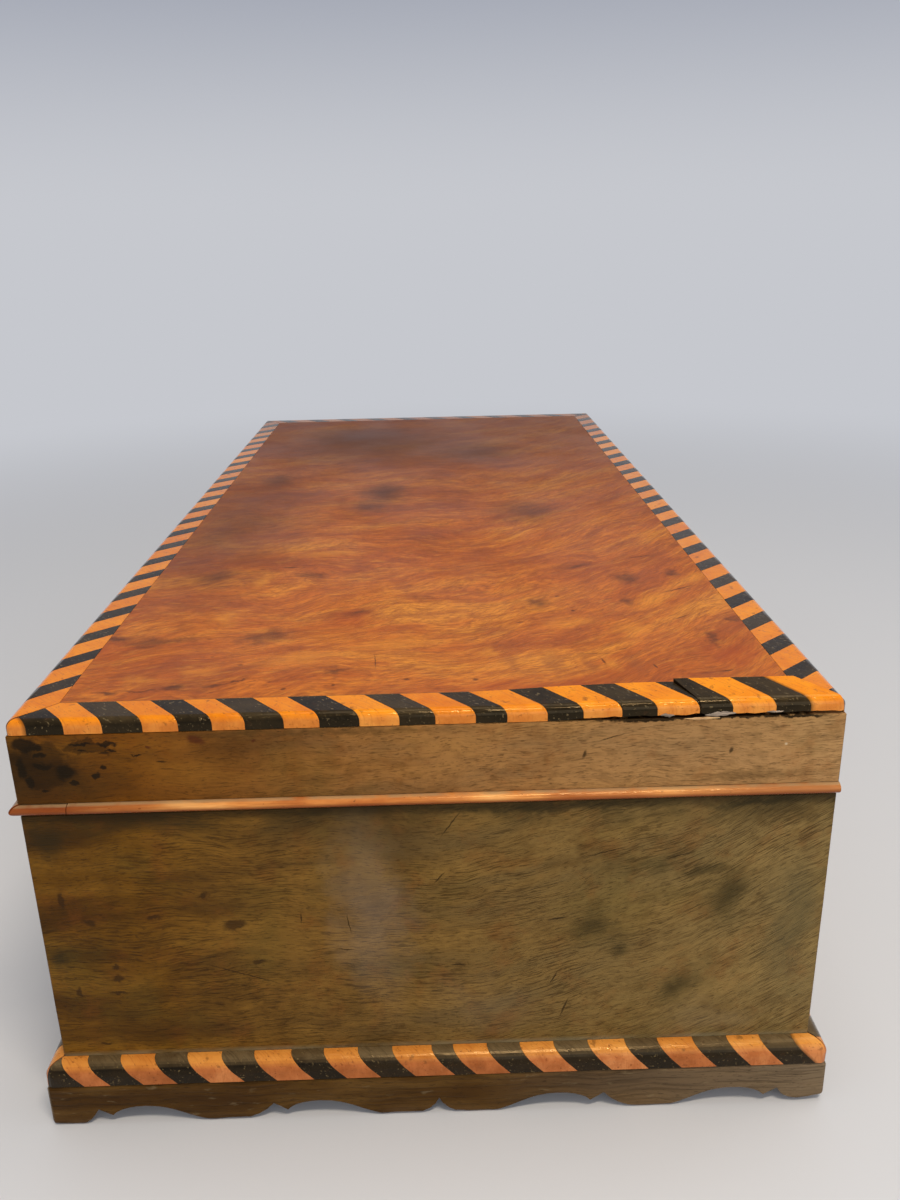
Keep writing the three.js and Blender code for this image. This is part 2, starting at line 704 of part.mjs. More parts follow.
// The bead on each end runs on to the back face, through the ends of the back rail
function beadEndSeats() {
  return [-1, 1].map((end) => {
    const seat = end * (lidLength / 2 - beadSeat - glueLine);
    const [low, high] = [seat, seat + end * overrun].sort((a, b) => a - b);
    return block([low, -overrun, lidFoot - overrun], [high, lidWidth, beadTop + glueLine]);
  });
}

function fittedCaseBoard(side) {
  if (side.name === 'front') return cut(caseBoard(side), ...lockSeat());
  return side.name === 'back' ? cut(caseBoard(side), ...hingeSeats(-1)) : caseBoard(side);
}

function fittedLidRail(side) {
  if (side.name === 'front') return cut(lidRail(side), ...linkPlateSeat());
  return side.name === 'back' ? cut(lidRail(side), ...hingeSeats(1), ...beadEndSeats()) : lidRail(side);
}

function lockScrews() {
  return lockScrewPlaces().map(([x, z], i) => {
    const mesh = piece(`lock_screw_${i + 1}`, screw(...lockScrewSizes), brass);
    mesh.position.set(x, lockInner, z);
    mesh.rotation.x = Math.PI / 2;
    return mesh;
  });
}

function linkScrews() {
  return linkPlateScrewPlaces().map((x, i) => {
    const mesh = piece(`link_plate_screw_${i + 1}`, screw(...lockScrewSizes), brass);
    mesh.position.set(x, linkPlateMiddle, lidFoot);
    mesh.rotation.x = Math.PI;
    return mesh;
  });
}

// Assembly: one group for the case and one for the lid, each with a turned group for each side
const caseGroup = new THREE.Group();
const lidGroup = new THREE.Group();
for (const side of sides) {
  const caseSide = new THREE.Group();
  const lidSide = new THREE.Group();
  caseSide.rotation.z = side.turn;
  lidSide.rotation.z = side.turn;
  caseSide.add(
    piece(`case_${side.name}`, fittedCaseBoard(side), walnut),
    piece(`apron_${side.name}`, apron(side), walnut),
    piece(`base_moulding_${side.name}`, baseMoulding(side), banding),
  );
  lidSide.add(
    piece(`lid_rail_${side.name}`, fittedLidRail(side), walnut),
    piece(`lid_moulding_${side.name}`, lidMoulding(side), banding),
  );
  if (side.name !== 'back') lidSide.add(piece(`bead_${side.name}`, bead(side), beadWood));
  if (side.name === 'front') {
    caseSide.add(
      piece('lock_case', lockCase(), brass),
      piece('lock_bolt', lockBolt(), steel),
      piece('keyhole_liner', keyholeLiner(), brass),
      ...lockScrews(),
    );
    lidSide.add(piece('link_plate', linkPlate(), brass), ...linkScrews());
  }
  caseGroup.add(caseSide);
  lidGroup.add(lidSide);
}
caseGroup.add(piece('case_bottom', caseBottom(), secondaryWood), ...glueBlocks());
lidGroup.add(piece('lid_panel', lidPanel(), figuredWalnut));
for (const name of ['left', 'right']) {
  caseGroup.add(hingeHalf(name, -1));
  lidGroup.add(hingeHalf(name, 1));
}

const box = new THREE.Group();
box.add(caseGroup, lidGroup);

export default box;
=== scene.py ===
# %% [markdown]
# # A walnut box edged with diagonal banding
# The box is about a foot long and stands on a low scalloped plinth. Its lid and its base are edged with
# slices of two woods, one orange and one stained black. It is old: the polish is stained, a corner of the
# banding has lifted, and the edges have gone soft.
#
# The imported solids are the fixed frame. Each already has its real size and place, so this script never
# moves one. It could colour them as they are, but a board with edges as sharp as a knife looks drawn. So
# most of them are replaced by a copy from the same solid, with its edges eased and its own finish.

# %% Load the fixed frame
import itertools
import json
import math
import random

import bmesh
import bpy
from mathutils import Matrix, Vector, noise


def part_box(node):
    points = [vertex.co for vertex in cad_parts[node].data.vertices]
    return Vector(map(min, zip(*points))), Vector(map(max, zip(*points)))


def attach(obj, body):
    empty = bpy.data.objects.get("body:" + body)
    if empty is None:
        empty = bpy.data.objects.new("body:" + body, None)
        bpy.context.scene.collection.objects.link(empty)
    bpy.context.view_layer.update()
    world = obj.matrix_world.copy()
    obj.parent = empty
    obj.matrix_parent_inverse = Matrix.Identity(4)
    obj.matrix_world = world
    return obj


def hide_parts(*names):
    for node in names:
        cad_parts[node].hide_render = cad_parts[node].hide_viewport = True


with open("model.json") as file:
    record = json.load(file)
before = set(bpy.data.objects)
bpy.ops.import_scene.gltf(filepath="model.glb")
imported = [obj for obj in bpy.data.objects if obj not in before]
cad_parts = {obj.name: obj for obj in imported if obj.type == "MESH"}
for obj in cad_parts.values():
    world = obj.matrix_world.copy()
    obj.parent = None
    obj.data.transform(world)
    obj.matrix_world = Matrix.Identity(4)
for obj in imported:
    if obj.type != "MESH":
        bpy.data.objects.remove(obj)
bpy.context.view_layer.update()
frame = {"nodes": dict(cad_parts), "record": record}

print("solids in the frame:", len(frame["nodes"]))

# %% [markdown]
# ## Sizes, colours and nodes
# The frame is in metres, and a cabinetmaker thinks in millimetres, so sizes are written in millimetres
# times MM. Colours are picked as they look on a screen, which is sRGB, while Blender's shaders count
# light, which is linear. One function turns the first into the second, and one more adds any shader node
# with its settings and its links.

# %% Units, colours and nodes
MM = 0.001
RECORD = frame["record"]
SLOT_OF = {row["node"]: row["material_slot"] for row in RECORD["subparts"]}
BODY_OF = {node: body for body, nodes in RECORD["behaviour"]["bodies"].items() for node in nodes}


def tint(hex_colour):
    """An sRGB colour such as #B5642C as linear red, green, blue and alpha."""
    shares = [int(hex_colour[i : i + 2], 16) / 255 for i in (1, 3, 5)]
    return (*[s / 12.92 if s <= 0.04045 else ((s + 0.055) / 1.055) ** 2.4 for s in shares], 1.0)


def add(tree, kind, inputs=(), stops=(), **settings):
    """Adds a shader node with its settings. Each input is a value, or the socket that feeds it."""
    node = tree.nodes.new("ShaderNode" + kind)
    for name, value in settings.items():
        setattr(node, name, value)
    for name, value in dict(inputs).items():
        if isinstance(value, bpy.types.NodeSocket):
            tree.links.new(value, node.inputs[name])
        else:
            node.inputs[name].default_value = value
    for i, (share, colour) in enumerate(stops):
        elements = node.color_ramp.elements
        element = elements[i] if i < 2 else elements.new(share)
        element.position, element.color = share, tint(colour)
    return node


print("a mid walnut in linear light:", [round(c, 3) for c in tint("#6B4A26")])

# %% [markdown]
# ## The camera
# The photograph was taken by hand from close above the right-hand end, a little right of its middle and
# about 165 mm in front of it. So near, a wide lens makes the far end small. The place and the angles were
# solved from the box's own corners, so they are written as real lengths and degrees. The lens is a share
# of the frame's height.

# %% Camera
CAMERA_PLACE = Vector((321.74, 2.03, 167.8)) * MM
CAMERA_HEADING = 89.194  # degrees from straight along the box's width
CAMERA_PITCH = 19.552
CAMERA_ROLL = -1.216
FOCAL_SHARE = 0.8555  # focal length over the height of the frame
SENSOR_HEIGHT = 36.0

heading = Matrix.Rotation(math.radians(CAMERA_HEADING), 4, "Z")
pitch = Matrix.Rotation(math.radians(90 - CAMERA_PITCH), 4, "X")
roll = Matrix.Rotation(math.radians(CAMERA_ROLL), 4, "Z")
camera = bpy.data.objects.new("camera", bpy.data.cameras.new("camera"))
camera.data.sensor_width = SENSOR_HEIGHT
camera.data.lens = FOCAL_SHARE * SENSOR_HEIGHT
camera.data.clip_start = 10 * MM
camera.matrix_world = Matrix.Translation(CAMERA_PLACE) @ heading @ pitch @ roll
bpy.context.scene.collection.objects.link(camera)
bpy.context.scene.camera = camera
print("lens in mm:", round(camera.data.lens, 2))

# %% [markdown]
# ## The floor
# A plain pale floor runs into a plain background, as studio paper does. Paper scatters light evenly, so
# it is rough and has no shine. It could be one sheet with a bend in it, but a disc that fades into the
# background further out has no bend to hide.

# %% Floor
FLOOR_RADIUS = 3000 * MM
FLOOR_FADE = (230 * MM, 800 * MM)  # between these distances the lit floor gives way to the background
BACKDROP_LOW = "#C6C8CE"


def made_object(name, bm, materials):
    """Turns a bmesh into an object of the scene."""
    mesh = bpy.data.meshes.new(name)
    bm.to_mesh(mesh)
    bm.free()
    for material in materials:
        mesh.materials.append(material)
    made = bpy.data.objects.new(name, mesh)
    bpy.context.scene.collection.objects.link(made)
    return made


def shows_backdrop(tree):
    """1 for what is seen directly, in a mirror or through glass, and 0 for light that falls on things."""
    ray = add(tree, "LightPath").outputs
    seen = {0: ray["Is Camera Ray"], 1: ray["Is Glossy Ray"]}
    seen = {0: add(tree, "Math", seen, operation="MAXIMUM").outputs[0], 1: ray["Is Transmission Ray"]}
    return add(tree, "Math", seen, operation="MAXIMUM").outputs[0]


paper = bpy.data.materials.new("seamless_paper")
paper.use_nodes = True
tree = paper.node_tree
tree.nodes.clear()
place = add(tree, "TexCoord").outputs["Object"]
distance = add(tree, "VectorMath", {0: place}, operation="LENGTH").outputs["Value"]
distance = {"Value": distance, "From Min": FLOOR_FADE[0], "From Max": FLOOR_FADE[1]}
distance = add(tree, "MapRange", distance, interpolation_type="SMOOTHSTEP").outputs[0]
distance = add(tree, "Math", {0: distance, 1: shows_backdrop(tree)}, operation="MULTIPLY").outputs[0]
matt = add(tree, "BsdfPrincipled", {"Base Color": tint("#D6D6D6"), "Roughness": 0.9})
plain = add(tree, "Emission", {"Color": tint(BACKDROP_LOW)})
blended = add(tree, "MixShader", {0: distance, 1: matt.outputs[0], 2: plain.outputs[0]})
add(tree, "OutputMaterial", {"Surface": blended.outputs[0]})

disc = bmesh.new()
bmesh.ops.create_circle(disc, cap_ends=True, segments=96, radius=FLOOR_RADIUS)
floor = made_object("floor", disc, [paper])
print("floor in mm:", [round(size / MM) for size in floor.dimensions.xy])

# %% [markdown]
# ## The light
# The background darkens a little upwards. Polish seen at a flat angle mirrors whatever stands behind it,
# so this also decides how grey the lid's far end looks. The light is soft: an even sky, a panel above the
# camera that draws a bright line along every rounded edge, a large cool one in front for the end, and one
# overhead. Together they light a flat surface at about the level where its colour renders as it is
# written.

# %% Light
BACKDROP_HIGH = "#878EA0"
BACKDROP_RISE = (0.02, 0.34)  # height of a unit step outwards where the background starts and ends to darken
SKY_STRENGTH = 0.52

world = bpy.data.worlds.new("studio")
world.use_nodes = True
bpy.context.scene.world = world
sky = world.node_tree
sky.nodes.clear()
rise = add(sky, "SeparateXYZ", {0: add(sky, "TexCoord").outputs["Generated"]}).outputs["Z"]
rise = {"Value": rise, "From Min": BACKDROP_RISE[0], "From Max": BACKDROP_RISE[1]}
rise = add(sky, "MapRange", rise, interpolation_type="SMOOTHSTEP").outputs[0]
shade = {0: rise, 6: tint(BACKDROP_LOW), 7: tint(BACKDROP_HIGH)}
shade = add(sky, "Mix", shade, data_type="RGBA").outputs[2]
fill = add(sky, "Background", {"Color": tint("#F1F3FA"), "Strength": SKY_STRENGTH})
backdrop = add(sky, "Background", {"Color": shade, "Strength": 1.0})
mixed = add(sky, "MixShader", {0: shows_backdrop(sky), 1: fill.outputs[0], 2: backdrop.outputs[0]})
add(sky, "OutputWorld", {"Surface": mixed.outputs[0]})

# name, place and target in millimetres, width and length in millimetres, watts and colour
LIGHT_PANELS = (
    ("key", (440, 115, 670), (150, 10, 60), (240, 40), 2.3, "#FFF1DE"),
    ("front", (900, 300, 330), (120, 0, 40), (700, 500), 1.9, "#EAF0FF"),
    ("top", (40, 160, 900), (40, 0, 60), (300, 700), 1.6, "#FFFFFF"),
)
for name, place, target, (width, length), watts, colour in LIGHT_PANELS:
    lamp = bpy.data.lights.new(name, "AREA")
    lamp.shape = "RECTANGLE"
    lamp.size = width * MM
    lamp.size_y = length * MM
    lamp.energy = watts
    lamp.color = tint(colour)[:3]
    panel = bpy.data.objects.new(name, lamp)
    panel.location = Vector(place) * MM
    panel.rotation_euler = (panel.location - Vector(target) * MM).to_track_quat("Z", "Y").to_euler()
    bpy.context.scene.collection.objects.link(panel)
print("lights:", len(LIGHT_PANELS))

# %% [markdown]
# ## Clouds along the grain
# All the woods here are made from a few habits of wood, and each habit is one function. The patterns read
# a point's place on the piece itself, in millimetres, so they stay put when the lid opens, and no
# unwrapping is needed. Figure is cloudy noise, drawn out along the grain to a real size. Grain is never
# quite straight, so it is bent in slow waves, and past a board's middle it may sweep away in a fan.

# %% Clouds along the grain
def start_material(name):
    """An empty material with its node tree, and a socket for a point's place in millimetres."""
    material = bpy.data.materials.new(name)
    material.use_nodes = True
    tree = material.node_tree
    tree.nodes.clear()
    place = add(tree, "TexCoord").outputs["Object"]
    print("material:", name)
    return material, tree, add(tree, "VectorMath", {0: place, "Scale": 1 / MM}, operation="SCALE").outputs[0]


def figure(tree, place, size, low, high, detail=3.0, shift=(0, 0, 0), crisp=0.5):
    """Clouds of a size in millimetres, from 0 where the noise is under low to 1 where it is over high."""
    shares = {0: place, 1: [1 / s for s in size], 2: shift}
    drawn_out = add(tree, "VectorMath", shares, operation="MULTIPLY_ADD").outputs[0]
    cloud = {"Vector": drawn_out, "Scale": 1.0, "Detail": detail, "Roughness": crisp}
    cloud = add(tree, "TexNoise", cloud).outputs[0]
    spread = {"Value": cloud, "From Min": low, "From Max": high}
    return add(tree, "MapRange", spread, interpolation_type="SMOOTHSTEP").outputs[0]


def bent(tree, place, size, reach):
    """Moves places to and fro by up to a reach, in waves of a size, so that straight patterns turn wavy."""
    wave = add(tree, "TexNoise", {"Vector": place, "Scale": 1 / size, "Detail": 2.0}).outputs["Color"]
    return add(tree, "VectorMath", {0: wave, 1: reach, 2: place}, operation="MULTIPLY_ADD").outputs[0]


def swept(tree, way, level, lean, fan):
    """Raises a level by a lean times the way, and past the middle also by a fan times the way squared."""
    past = add(tree, "Math", {0: way, 1: 0.0}, operation="MAXIMUM").outputs[0]
    past = add(tree, "Math", {0: past, 1: 2.0}, operation="POWER").outputs[0]
    level = add(tree, "Math", {0: past, 1: fan, 2: level}, operation="MULTIPLY_ADD").outputs[0]
    return add(tree, "Math", {0: way, 1: lean, 2: level}, operation="MULTIPLY_ADD").outputs[0]


def run_of_grain(tree, place, along, lean=0.0, fan=0.0):
    """Turns a place on an upright board so that X runs with the grain and Y climbs the board's face. The
    grain leans by a share of the way along, and past the board's middle it fans upwards."""
    x, y, z = add(tree, "SeparateXYZ", {0: place}).outputs
    way, through = (x, y) if along == "X" else (y, x)
    level = swept(tree, way, z, -lean, -fan)
    return add(tree, "CombineXYZ", {0: way, 1: level, 2: through}).outputs[0]


# %% [markdown]
# ## Stains and marks
# Old wood is one colour with many faint coats over it, of polish, light, dirt and wear. A coat covers
# what is below it as far as a mask says. A mask is clouds, or it grows along a height or a length, or it
# is marks. A mark is a stain or a scratch with a centre, a half size and a turn, and noise shakes its
# outline. All of them could be painted by hand on a picture, but a row of numbers can be read and
# changed.

# %% Stains and marks
def across(tree, place, axis, start, end, kind="LINEAR"):
    """A mask that grows from 0 where a place's X, Y or Z is at start to 1 where it is at end."""
    level = add(tree, "SeparateXYZ", {0: place}).outputs[axis]
    reach = {"Value": level, "From Min": start, "From Max": end}
    return add(tree, "MapRange", reach, interpolation_type=kind).outputs[0]


def coated(tree, below, *coats):
    """Lays coats over a colour. A coat is a mask, a colour, a strength, and a second mask if it has one."""
    for mask, colour, strength, *where in coats:
        for share in (*where, strength):
            mask = add(tree, "Math", {0: mask, 1: share}, operation="MULTIPLY").outputs[0]
        above = colour if isinstance(colour, bpy.types.NodeSocket) else tint(colour)
        below = add(tree, "Mix", {0: mask, 6: below, 7: above}, data_type="RGBA").outputs[2]
    return below


def blemishes(tree, place, ragged, full, marks):
    """How far the marks cover a point, from 0 at a mark's edge to 1 within a full share of its half size. A
    mark is a centre, half sizes and a turn in degrees. The more ragged it is, the wider its edge's waves."""
    wander = {"Vector": place, "Scale": 0.9 / (1.5 * ragged + 0.7), "Detail": 5.0, "Roughness": 0.6}
    wander = add(tree, "TexNoise", wander).outputs["Color"]
    offset = {0: wander, 1: [3 * ragged] * 3, 2: [-1.5 * ragged] * 3}
    offset = add(tree, "VectorMath", offset, operation="MULTIPLY_ADD").outputs[0]
    shaken = add(tree, "VectorMath", {0: place, 1: offset}, operation="ADD").outputs[0]
    cover = None
    for centre, half_size, turn in marks:
        turned = [math.radians(angle) for angle in turn]
        local = {"Vector": shaken, "Location": centre, "Rotation": turned, "Scale": half_size}
        local = add(tree, "Mapping", local, vector_type="TEXTURE").outputs[0]
        distance = add(tree, "VectorMath", {0: local}, operation="LENGTH").outputs["Value"]
        edge = {"Value": distance, "From Min": 1.0, "From Max": full}
        mark = add(tree, "MapRange", edge, interpolation_type="SMOOTHSTEP").outputs[0]
        cover = add(tree, "Math", {0: cover, 1: mark}, operation="MAXIMUM").outputs[0] if cover else mark
    return cover


def coats_of_marks(tree, place, on_board, groups):
    """Coats for groups of marks. A group is a colour, a strength, how ragged and how full its marks are, and
    the marks as rows of numbers, which on_board turns into marks."""
    for colour, strength, ragged, full, rows in groups:
        yield blemishes(tree, place, ragged, full, itertools.starmap(on_board, rows)), colour, strength


# %% [markdown]
# ## Polish
# A finish ends each material. French polish is shellac, rubbed on in thin coats until it is a clear film.
# Worn shellac is full of fine cracks and mirrors less than new, so its index of refraction is matched a
# little lower, and it has gone amber, which warms what it mirrors. It is duller in patches where it was
# handled, so its roughness follows a mask. Pores and fibres give a relief of a few hundredths of a
# millimetre. That is too small to model, so it is left to the shader.

# %% Polish
AMBER_TINT = tint("#F0CF9A")
OLD_SHELLAC = {"IOR": 1.33, "Specular IOR Level": 0.35, "Specular Tint": AMBER_TINT}  # cracked and dull
LID_SHELLAC = {"IOR": 1.38, "Specular IOR Level": 0.45, "Specular Tint": AMBER_TINT}  # kept a little better
BURNISHED = {"IOR": 1.45, "Specular Tint": AMBER_TINT}  # hard, close wood that hands have rubbed bright
SUBDUED = {"IOR": 1.45, "Specular IOR Level": 0.36, "Specular Tint": AMBER_TINT}  # over black dye


def polished(tree, colour, wear, rough, height, relief, film):
    """Ends a material: its colour, its roughness where the wear is least and most, a relief of so many
    millimetres from its heights, sunk where it is negative, and the film over it."""
    roughness = add(tree, "MapRange", {"Value": wear, "To Min": rough[0], "To Max": rough[1]}).outputs[0]
    bump = add(tree, "Bump", {"Height": height, "Distance": relief * MM}).outputs[0]
    finish = {"Base Color": colour, "Roughness": roughness, "Normal": bump} | film
    add(tree, "OutputMaterial", {"Surface": add(tree, "BsdfPrincipled", finish).outputs[0]})


# %% [markdown]
# ## Walnut
# The walls and the lid's sides are European walnut, sawn through and through, oiled and then French
# polished. That gives a brown with a green or grey cast, hair-fine dark lines along the grain, and a soft
# gloss that a century of hands has dulled. Each board is also painted paler and greyer towards the side
# the light comes from, which is painted light. One function makes it, with the tones, the direction of
# the grain and the marks of each board. The pores are 2 to 4 mm long and a fifth of one wide. Its coats
# are, in turn, that painted light, dark clouds, a green haze, a redder one, mottle, the grain's lines,
# pores, specks, a darkening under the bead, a painted shadow in the bead's corner, dust on the ledge, and
# the marks.

# %% Walnut
PORE = (1.8, 0.24, 0.24)
WALNUT_LEAN = 0.02
PAINTED_LIGHT_SPAN = {"X": (-260.0, 300.0), "Y": (-50.0, 85.0)}  # painted light, from none to full, paler towards the lit side
# the darkening under the bead: where it starts and is full, and how dark; it also sets a painted shadow
UNDER_BEAD_DARKENING = (61, 68, 0.4)
DUST_LEVELS = (15.6, 14.7)  # the ledge over the base banding, where dust lies


def walnut(name, along, tones, painted_light, marks=(), fan=0.0, shift=0.0, under_bead_darkening=UNDER_BEAD_DARKENING, lines=0.6):
    """Tones are the dark, middle and light ones and a redder one. The colour after them is a painted light:
    the board turns to it towards its lit side. The darkening under the bead is the level in millimetres
    where it starts and is full, and how dark it is, which is also the strength of a painted shadow in the
    bead's corner. Lines is how dark the grain lines are."""
    material, tree, place = start_material(name)
    grain = run_of_grain(tree, place, along, WALNUT_LEAN, fan)
    grain = bent(tree, bent(tree, grain, 28, (7, 7, 7)), 6, (0.9, 0.9, 0.9))
    dark, middle, light, redder = tones
    broad = figure(tree, grain, (46, 9, 26), 0.3, 0.7, 5.0, (shift, shift, shift), 0.6)
    colour = add(tree, "ValToRGB", {0: broad}, stops=[(0, dark), (1, light), (0.5, middle)]).outputs[0]
    patches = figure(tree, place, (22, 20, 18), 0.34, 0.58, 4.0, (6, shift, 1))
    fibres = figure(tree, grain, (4.6, 0.3, 0.8), 0.48, 0.64, crisp=0.6)
    pores = figure(tree, grain, PORE, 0.56, 0.66, 2.0)
    patchy = figure(tree, place, (14, 14, 6), 0.3, 0.62, 5.0, crisp=0.6)
    start, full, darkness = under_bead_darkening
    colour = coated(
        tree, colour,
        # painted light: paler and greyer towards the board's lit side
        (across(tree, grain, "X", *PAINTED_LIGHT_SPAN[along]), painted_light, 0.9),
        (figure(tree, place, (15, 13, 10), 0.48, 0.72, 6.0, (8, shift, 2), 0.66), dark, 0.5),
        (figure(tree, place, (30, 24, 20), 0.48, 0.7, 5.0, (shift, 4, 9), 0.6), "#5A5020", 0.26),
        (figure(tree, place, (12, 9, 9), 0.5, 0.72, 6.0, (3, 7, shift), 0.66), redder, 0.35),
        (figure(tree, grain, (3.4, 1.5, 3), 0.42, 0.68, 6.0, (2, 2, shift), 0.7), "#3A240C", 0.3),
        (fibres, "#2A1706", lines, patches),
        (pores, "#271606", 0.45),
        (figure(tree, grain, (2.2, 0.8, 1.2), 0.69, 0.75, 4.0, (5, 1, shift), 0.6), "#24160A", 0.6),
        # darker towards the top, under the bead, in patches
        (across(tree, place, "Z", start, full, "SMOOTHSTEP"), "#2A2614", darkness, patchy),
        # painted shadow: a dark band in the corner under the bead
        (across(tree, place, "Z", full - 1.5, full + 1.0, "SMOOTHSTEP"), "#1E150A", darkness),
        (across(tree, place, "Z", *DUST_LEVELS), "#8F8262", 0.55, patchy),
        *coats_of_marks(tree, place, on_the_end, marks),
    )
    wear = figure(tree, place, (14, 14, 9), 0.3, 0.7, 4.0, (1, 2, 3))
    relief = add(tree, "Math", {0: fibres, 1: pores}, operation="ADD").outputs[0]
    polished(tree, colour, wear, (0.42, 0.54), relief, -0.015, OLD_SHELLAC)
    return material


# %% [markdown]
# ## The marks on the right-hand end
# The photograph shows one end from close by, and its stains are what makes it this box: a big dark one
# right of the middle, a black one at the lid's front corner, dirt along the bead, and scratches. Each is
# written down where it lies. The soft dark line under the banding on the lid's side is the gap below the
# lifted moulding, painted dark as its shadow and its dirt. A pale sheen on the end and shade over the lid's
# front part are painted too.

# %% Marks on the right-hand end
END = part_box("case_right")[1].x / MM
THROUGH = 14.0  # half size of a mark into the board, so that it covers the whole thickness


def on_the_end(y, z, half_y, half_z, turn=0):
    return (END, y, z), (THROUGH, half_y, half_z), (turn, 0, 0)


# colour, strength, how ragged, how full, and the marks: y, z, half y, half z and a turn
CASE_END_MARKS = (
    # a pale upright haze left of the middle, which is a painted sheen, and two faint pale hazes lower down
    ("#8A7865", 0.34, 5.0, 0.0, [(-12, 46, 10, 28, 4)]),
    ("#86765F", 0.14, 5.0, 0.0, [(10, 24, 16, 9), (54, 19, 13, 6, -6)]),
    # brown clouds
    ("#3C2810", 0.36, 8.0, 0.0, [(-58, 20, 26, 9), (-40, 52, 16, 7, 10), (-20, 22, 16, 8), (-6, 62, 9, 9)]),
    # the big dark stain, first its soft halo and then its core
    ("#3C341A", 0.5, 6.0, 0.0, [
        (30, 41, 12, 8, 20), (56, 48, 10, 11, -30), (48, 28, 11, 6, 25), (40, 55, 20, 4, 12),
    ]),
    ("#2A2411", 0.6, 2.2, 0.0, [
        (30, 42, 6, 3.4, 20), (57, 48.5, 4, 7, -30), (48, 27.4, 6, 3, 25), (51, 53.6, 8, 1.6, 5),
        (36, 36, 3, 2),
    ]),
    # grey towards the back corner
    ("#4C4730", 0.5, 5.0, 0.0, [(69, 42, 7, 22)]),
    # dirt along the bead and at the front corner
    ("#221F12", 0.6, 2.4, 0.1, [
        (58, 67.6, 14, 1.6, 6), (20, 68.5, 30, 1.6), (-72, 38, 3, 4), (-71, 64, 6, 7),
    ]),
    # nicks
    ("#2B1A0B", 0.75, 0.9, 0.4, [
        (-38, 44.4, 3.0, 1.4, 10), (-43.3, 51.3, 1.2, 1.0), (-65.4, 46, 1.7, 1.3), (-61.8, 35.7, 1.0, 0.7),
        (-61.6, 33, 1.6, 1.2), (-62.2, 29.7, 2.4, 0.5, -8), (-53, 47, 1.8, 0.7), (-70, 51, 1.0, 2.4),
        (-69.5, 30, 0.8, 1.6), (-34, 36, 1.6, 0.6, 15), (-66, 17.5, 1.6, 0.5),
    ]),
    # scratches
    ("#21150A", 0.8, 0.2, 0.3, [
        (-37, 33, 10.6, 0.16, -20), (-25.3, 45.6, 1.7, 0.18, 88), (-16.3, 44, 2.9, 0.16, 98),
        (-17.2, 38.2, 2.4, 0.24, -6), (3.6, 65.4, 4.3, 0.2, 55), (1.3, 53.8, 2.1, 0.22, 49),
        (23.1, 30, 2.0, 0.26, 62), (25.3, 22.8, 3.1, 0.26, 70), (4.5, 33.8, 2.1, 0.34, -4),
        (32.5, 58.4, 6.0, 0.22, 14), (23.6, 43.8, 2.6, 0.3, 6), (46, 57, 4.0, 0.18, 16),
    ]),
)
LID_END_MARKS = (
    # the front part is painted dark, as painted shade and as stains, and is nearly black at the corner
    ("#33200C", 0.8, 5.0, 0.1, [(-82, 78, 38, 22)]),
    ("#221508", 0.55, 3.0, 0.0, [(-75, 80, 9, 8), (-65, 78.6, 5, 4)]),
    ("#120B06", 0.6, 3.4, 0.7, [(-69.5, 80, 6.5, 5.5), (-60.5, 83.2, 5, 1.5)]),
    ("#4E2E0C", 0.4, 8.0, 0.1, [(-40, 78, 30, 16)]),
    # small black flecks
    ("#120C07", 0.9, 0.8, 0.55, [
        (-72, 84, 2.6, 1.9), (-70, 83.6, 1.6, 1.0), (-61.9, 83.9, 2.6, 0.4, 2), (-57.4, 83.9, 2.4, 0.5),
        (-61.6, 82.6, 1.2, 0.3), (-56.8, 82.5, 1.1, 0.35), (-69.5, 81.9, 1.5, 0.6), (-69, 79.7, 2.2, 0.7),
    ]),
    ("#140E08", 0.9, 0.8, 0.55, [
        (-65.3, 78.4, 2.4, 1.7), (-59.9, 77.5, 0.9, 0.9), (-58.7, 79, 0.7, 0.4, 30), (-64, 76.1, 1.0, 0.6),
        (-73, 79.4, 1.1, 2.4), (-72, 76.5, 1.1, 1.6), (-69.3, 74.5, 0.8, 0.4), (-52.1, 81.4, 1.1, 0.3),
    ]),
    # reddish nicks
    ("#4A2010", 0.8, 0.6, 0.4, [
        (-41.7, 84.2, 2.2, 1.2, -12), (-31.3, 83.8, 0.5, 0.4), (-49.8, 83, 0.6, 0.3),
    ]),
    # old dirt under the banding and over the bead
    ("#463015", 0.45, 1.2, 0.1, [(-20, 85, 44, 1.0), (60, 74, 18, 1.5, 2)]),
    # the gap under the lifted moulding, painted dark as its shadow and as the dirt in it
    ("#150C05", 0.97, 0.5, 0.5, [(48, 85.75, 30, 0.42), (40, 85.6, 9, 0.5, 1), (66, 85.6, 7, 0.4, -1)]),
    # two pale specks
    ("#C9B694", 0.75, 0.1, 0.2, [(64.5, 80.1, 0.36, 0.36), (75.2, 80.3, 0.25, 0.25)]),
    # scratches
    ("#21150A", 0.8, 0.2, 0.3, [
        (54.6, 79.1, 1.0, 0.5, 75), (28, 79.1, 1.2, 0.45, 72), (-48, 80, 1.2, 0.35), (-58, 82, 1.6, 0.3, 5),
        (33, 82.4, 3.6, 0.18, 16),
    ]),
)
print("marks on the end:", sum(len(group[-1]) for group in CASE_END_MARKS + LID_END_MARKS))

# %% [markdown]
# ## The walnut boards
# The lid's sides are a warmer, paler walnut than the walls, with fainter lines, and have no darkening or
# painted shadow under the bead, since they stand above it. No two boards share a pattern, because each
# reads the clouds from another place.

# %% Walnut boards
CASE_TONES = ("#442909", "#68440F", "#82591B", "#774016")
# the paler, greyer tone that painted light gives a wall's lit side
CASE_PAINTED_LIGHT = "#8B7446"
LID_TONES = ("#5F360A", "#854F10", "#9A6218", "#84440F")
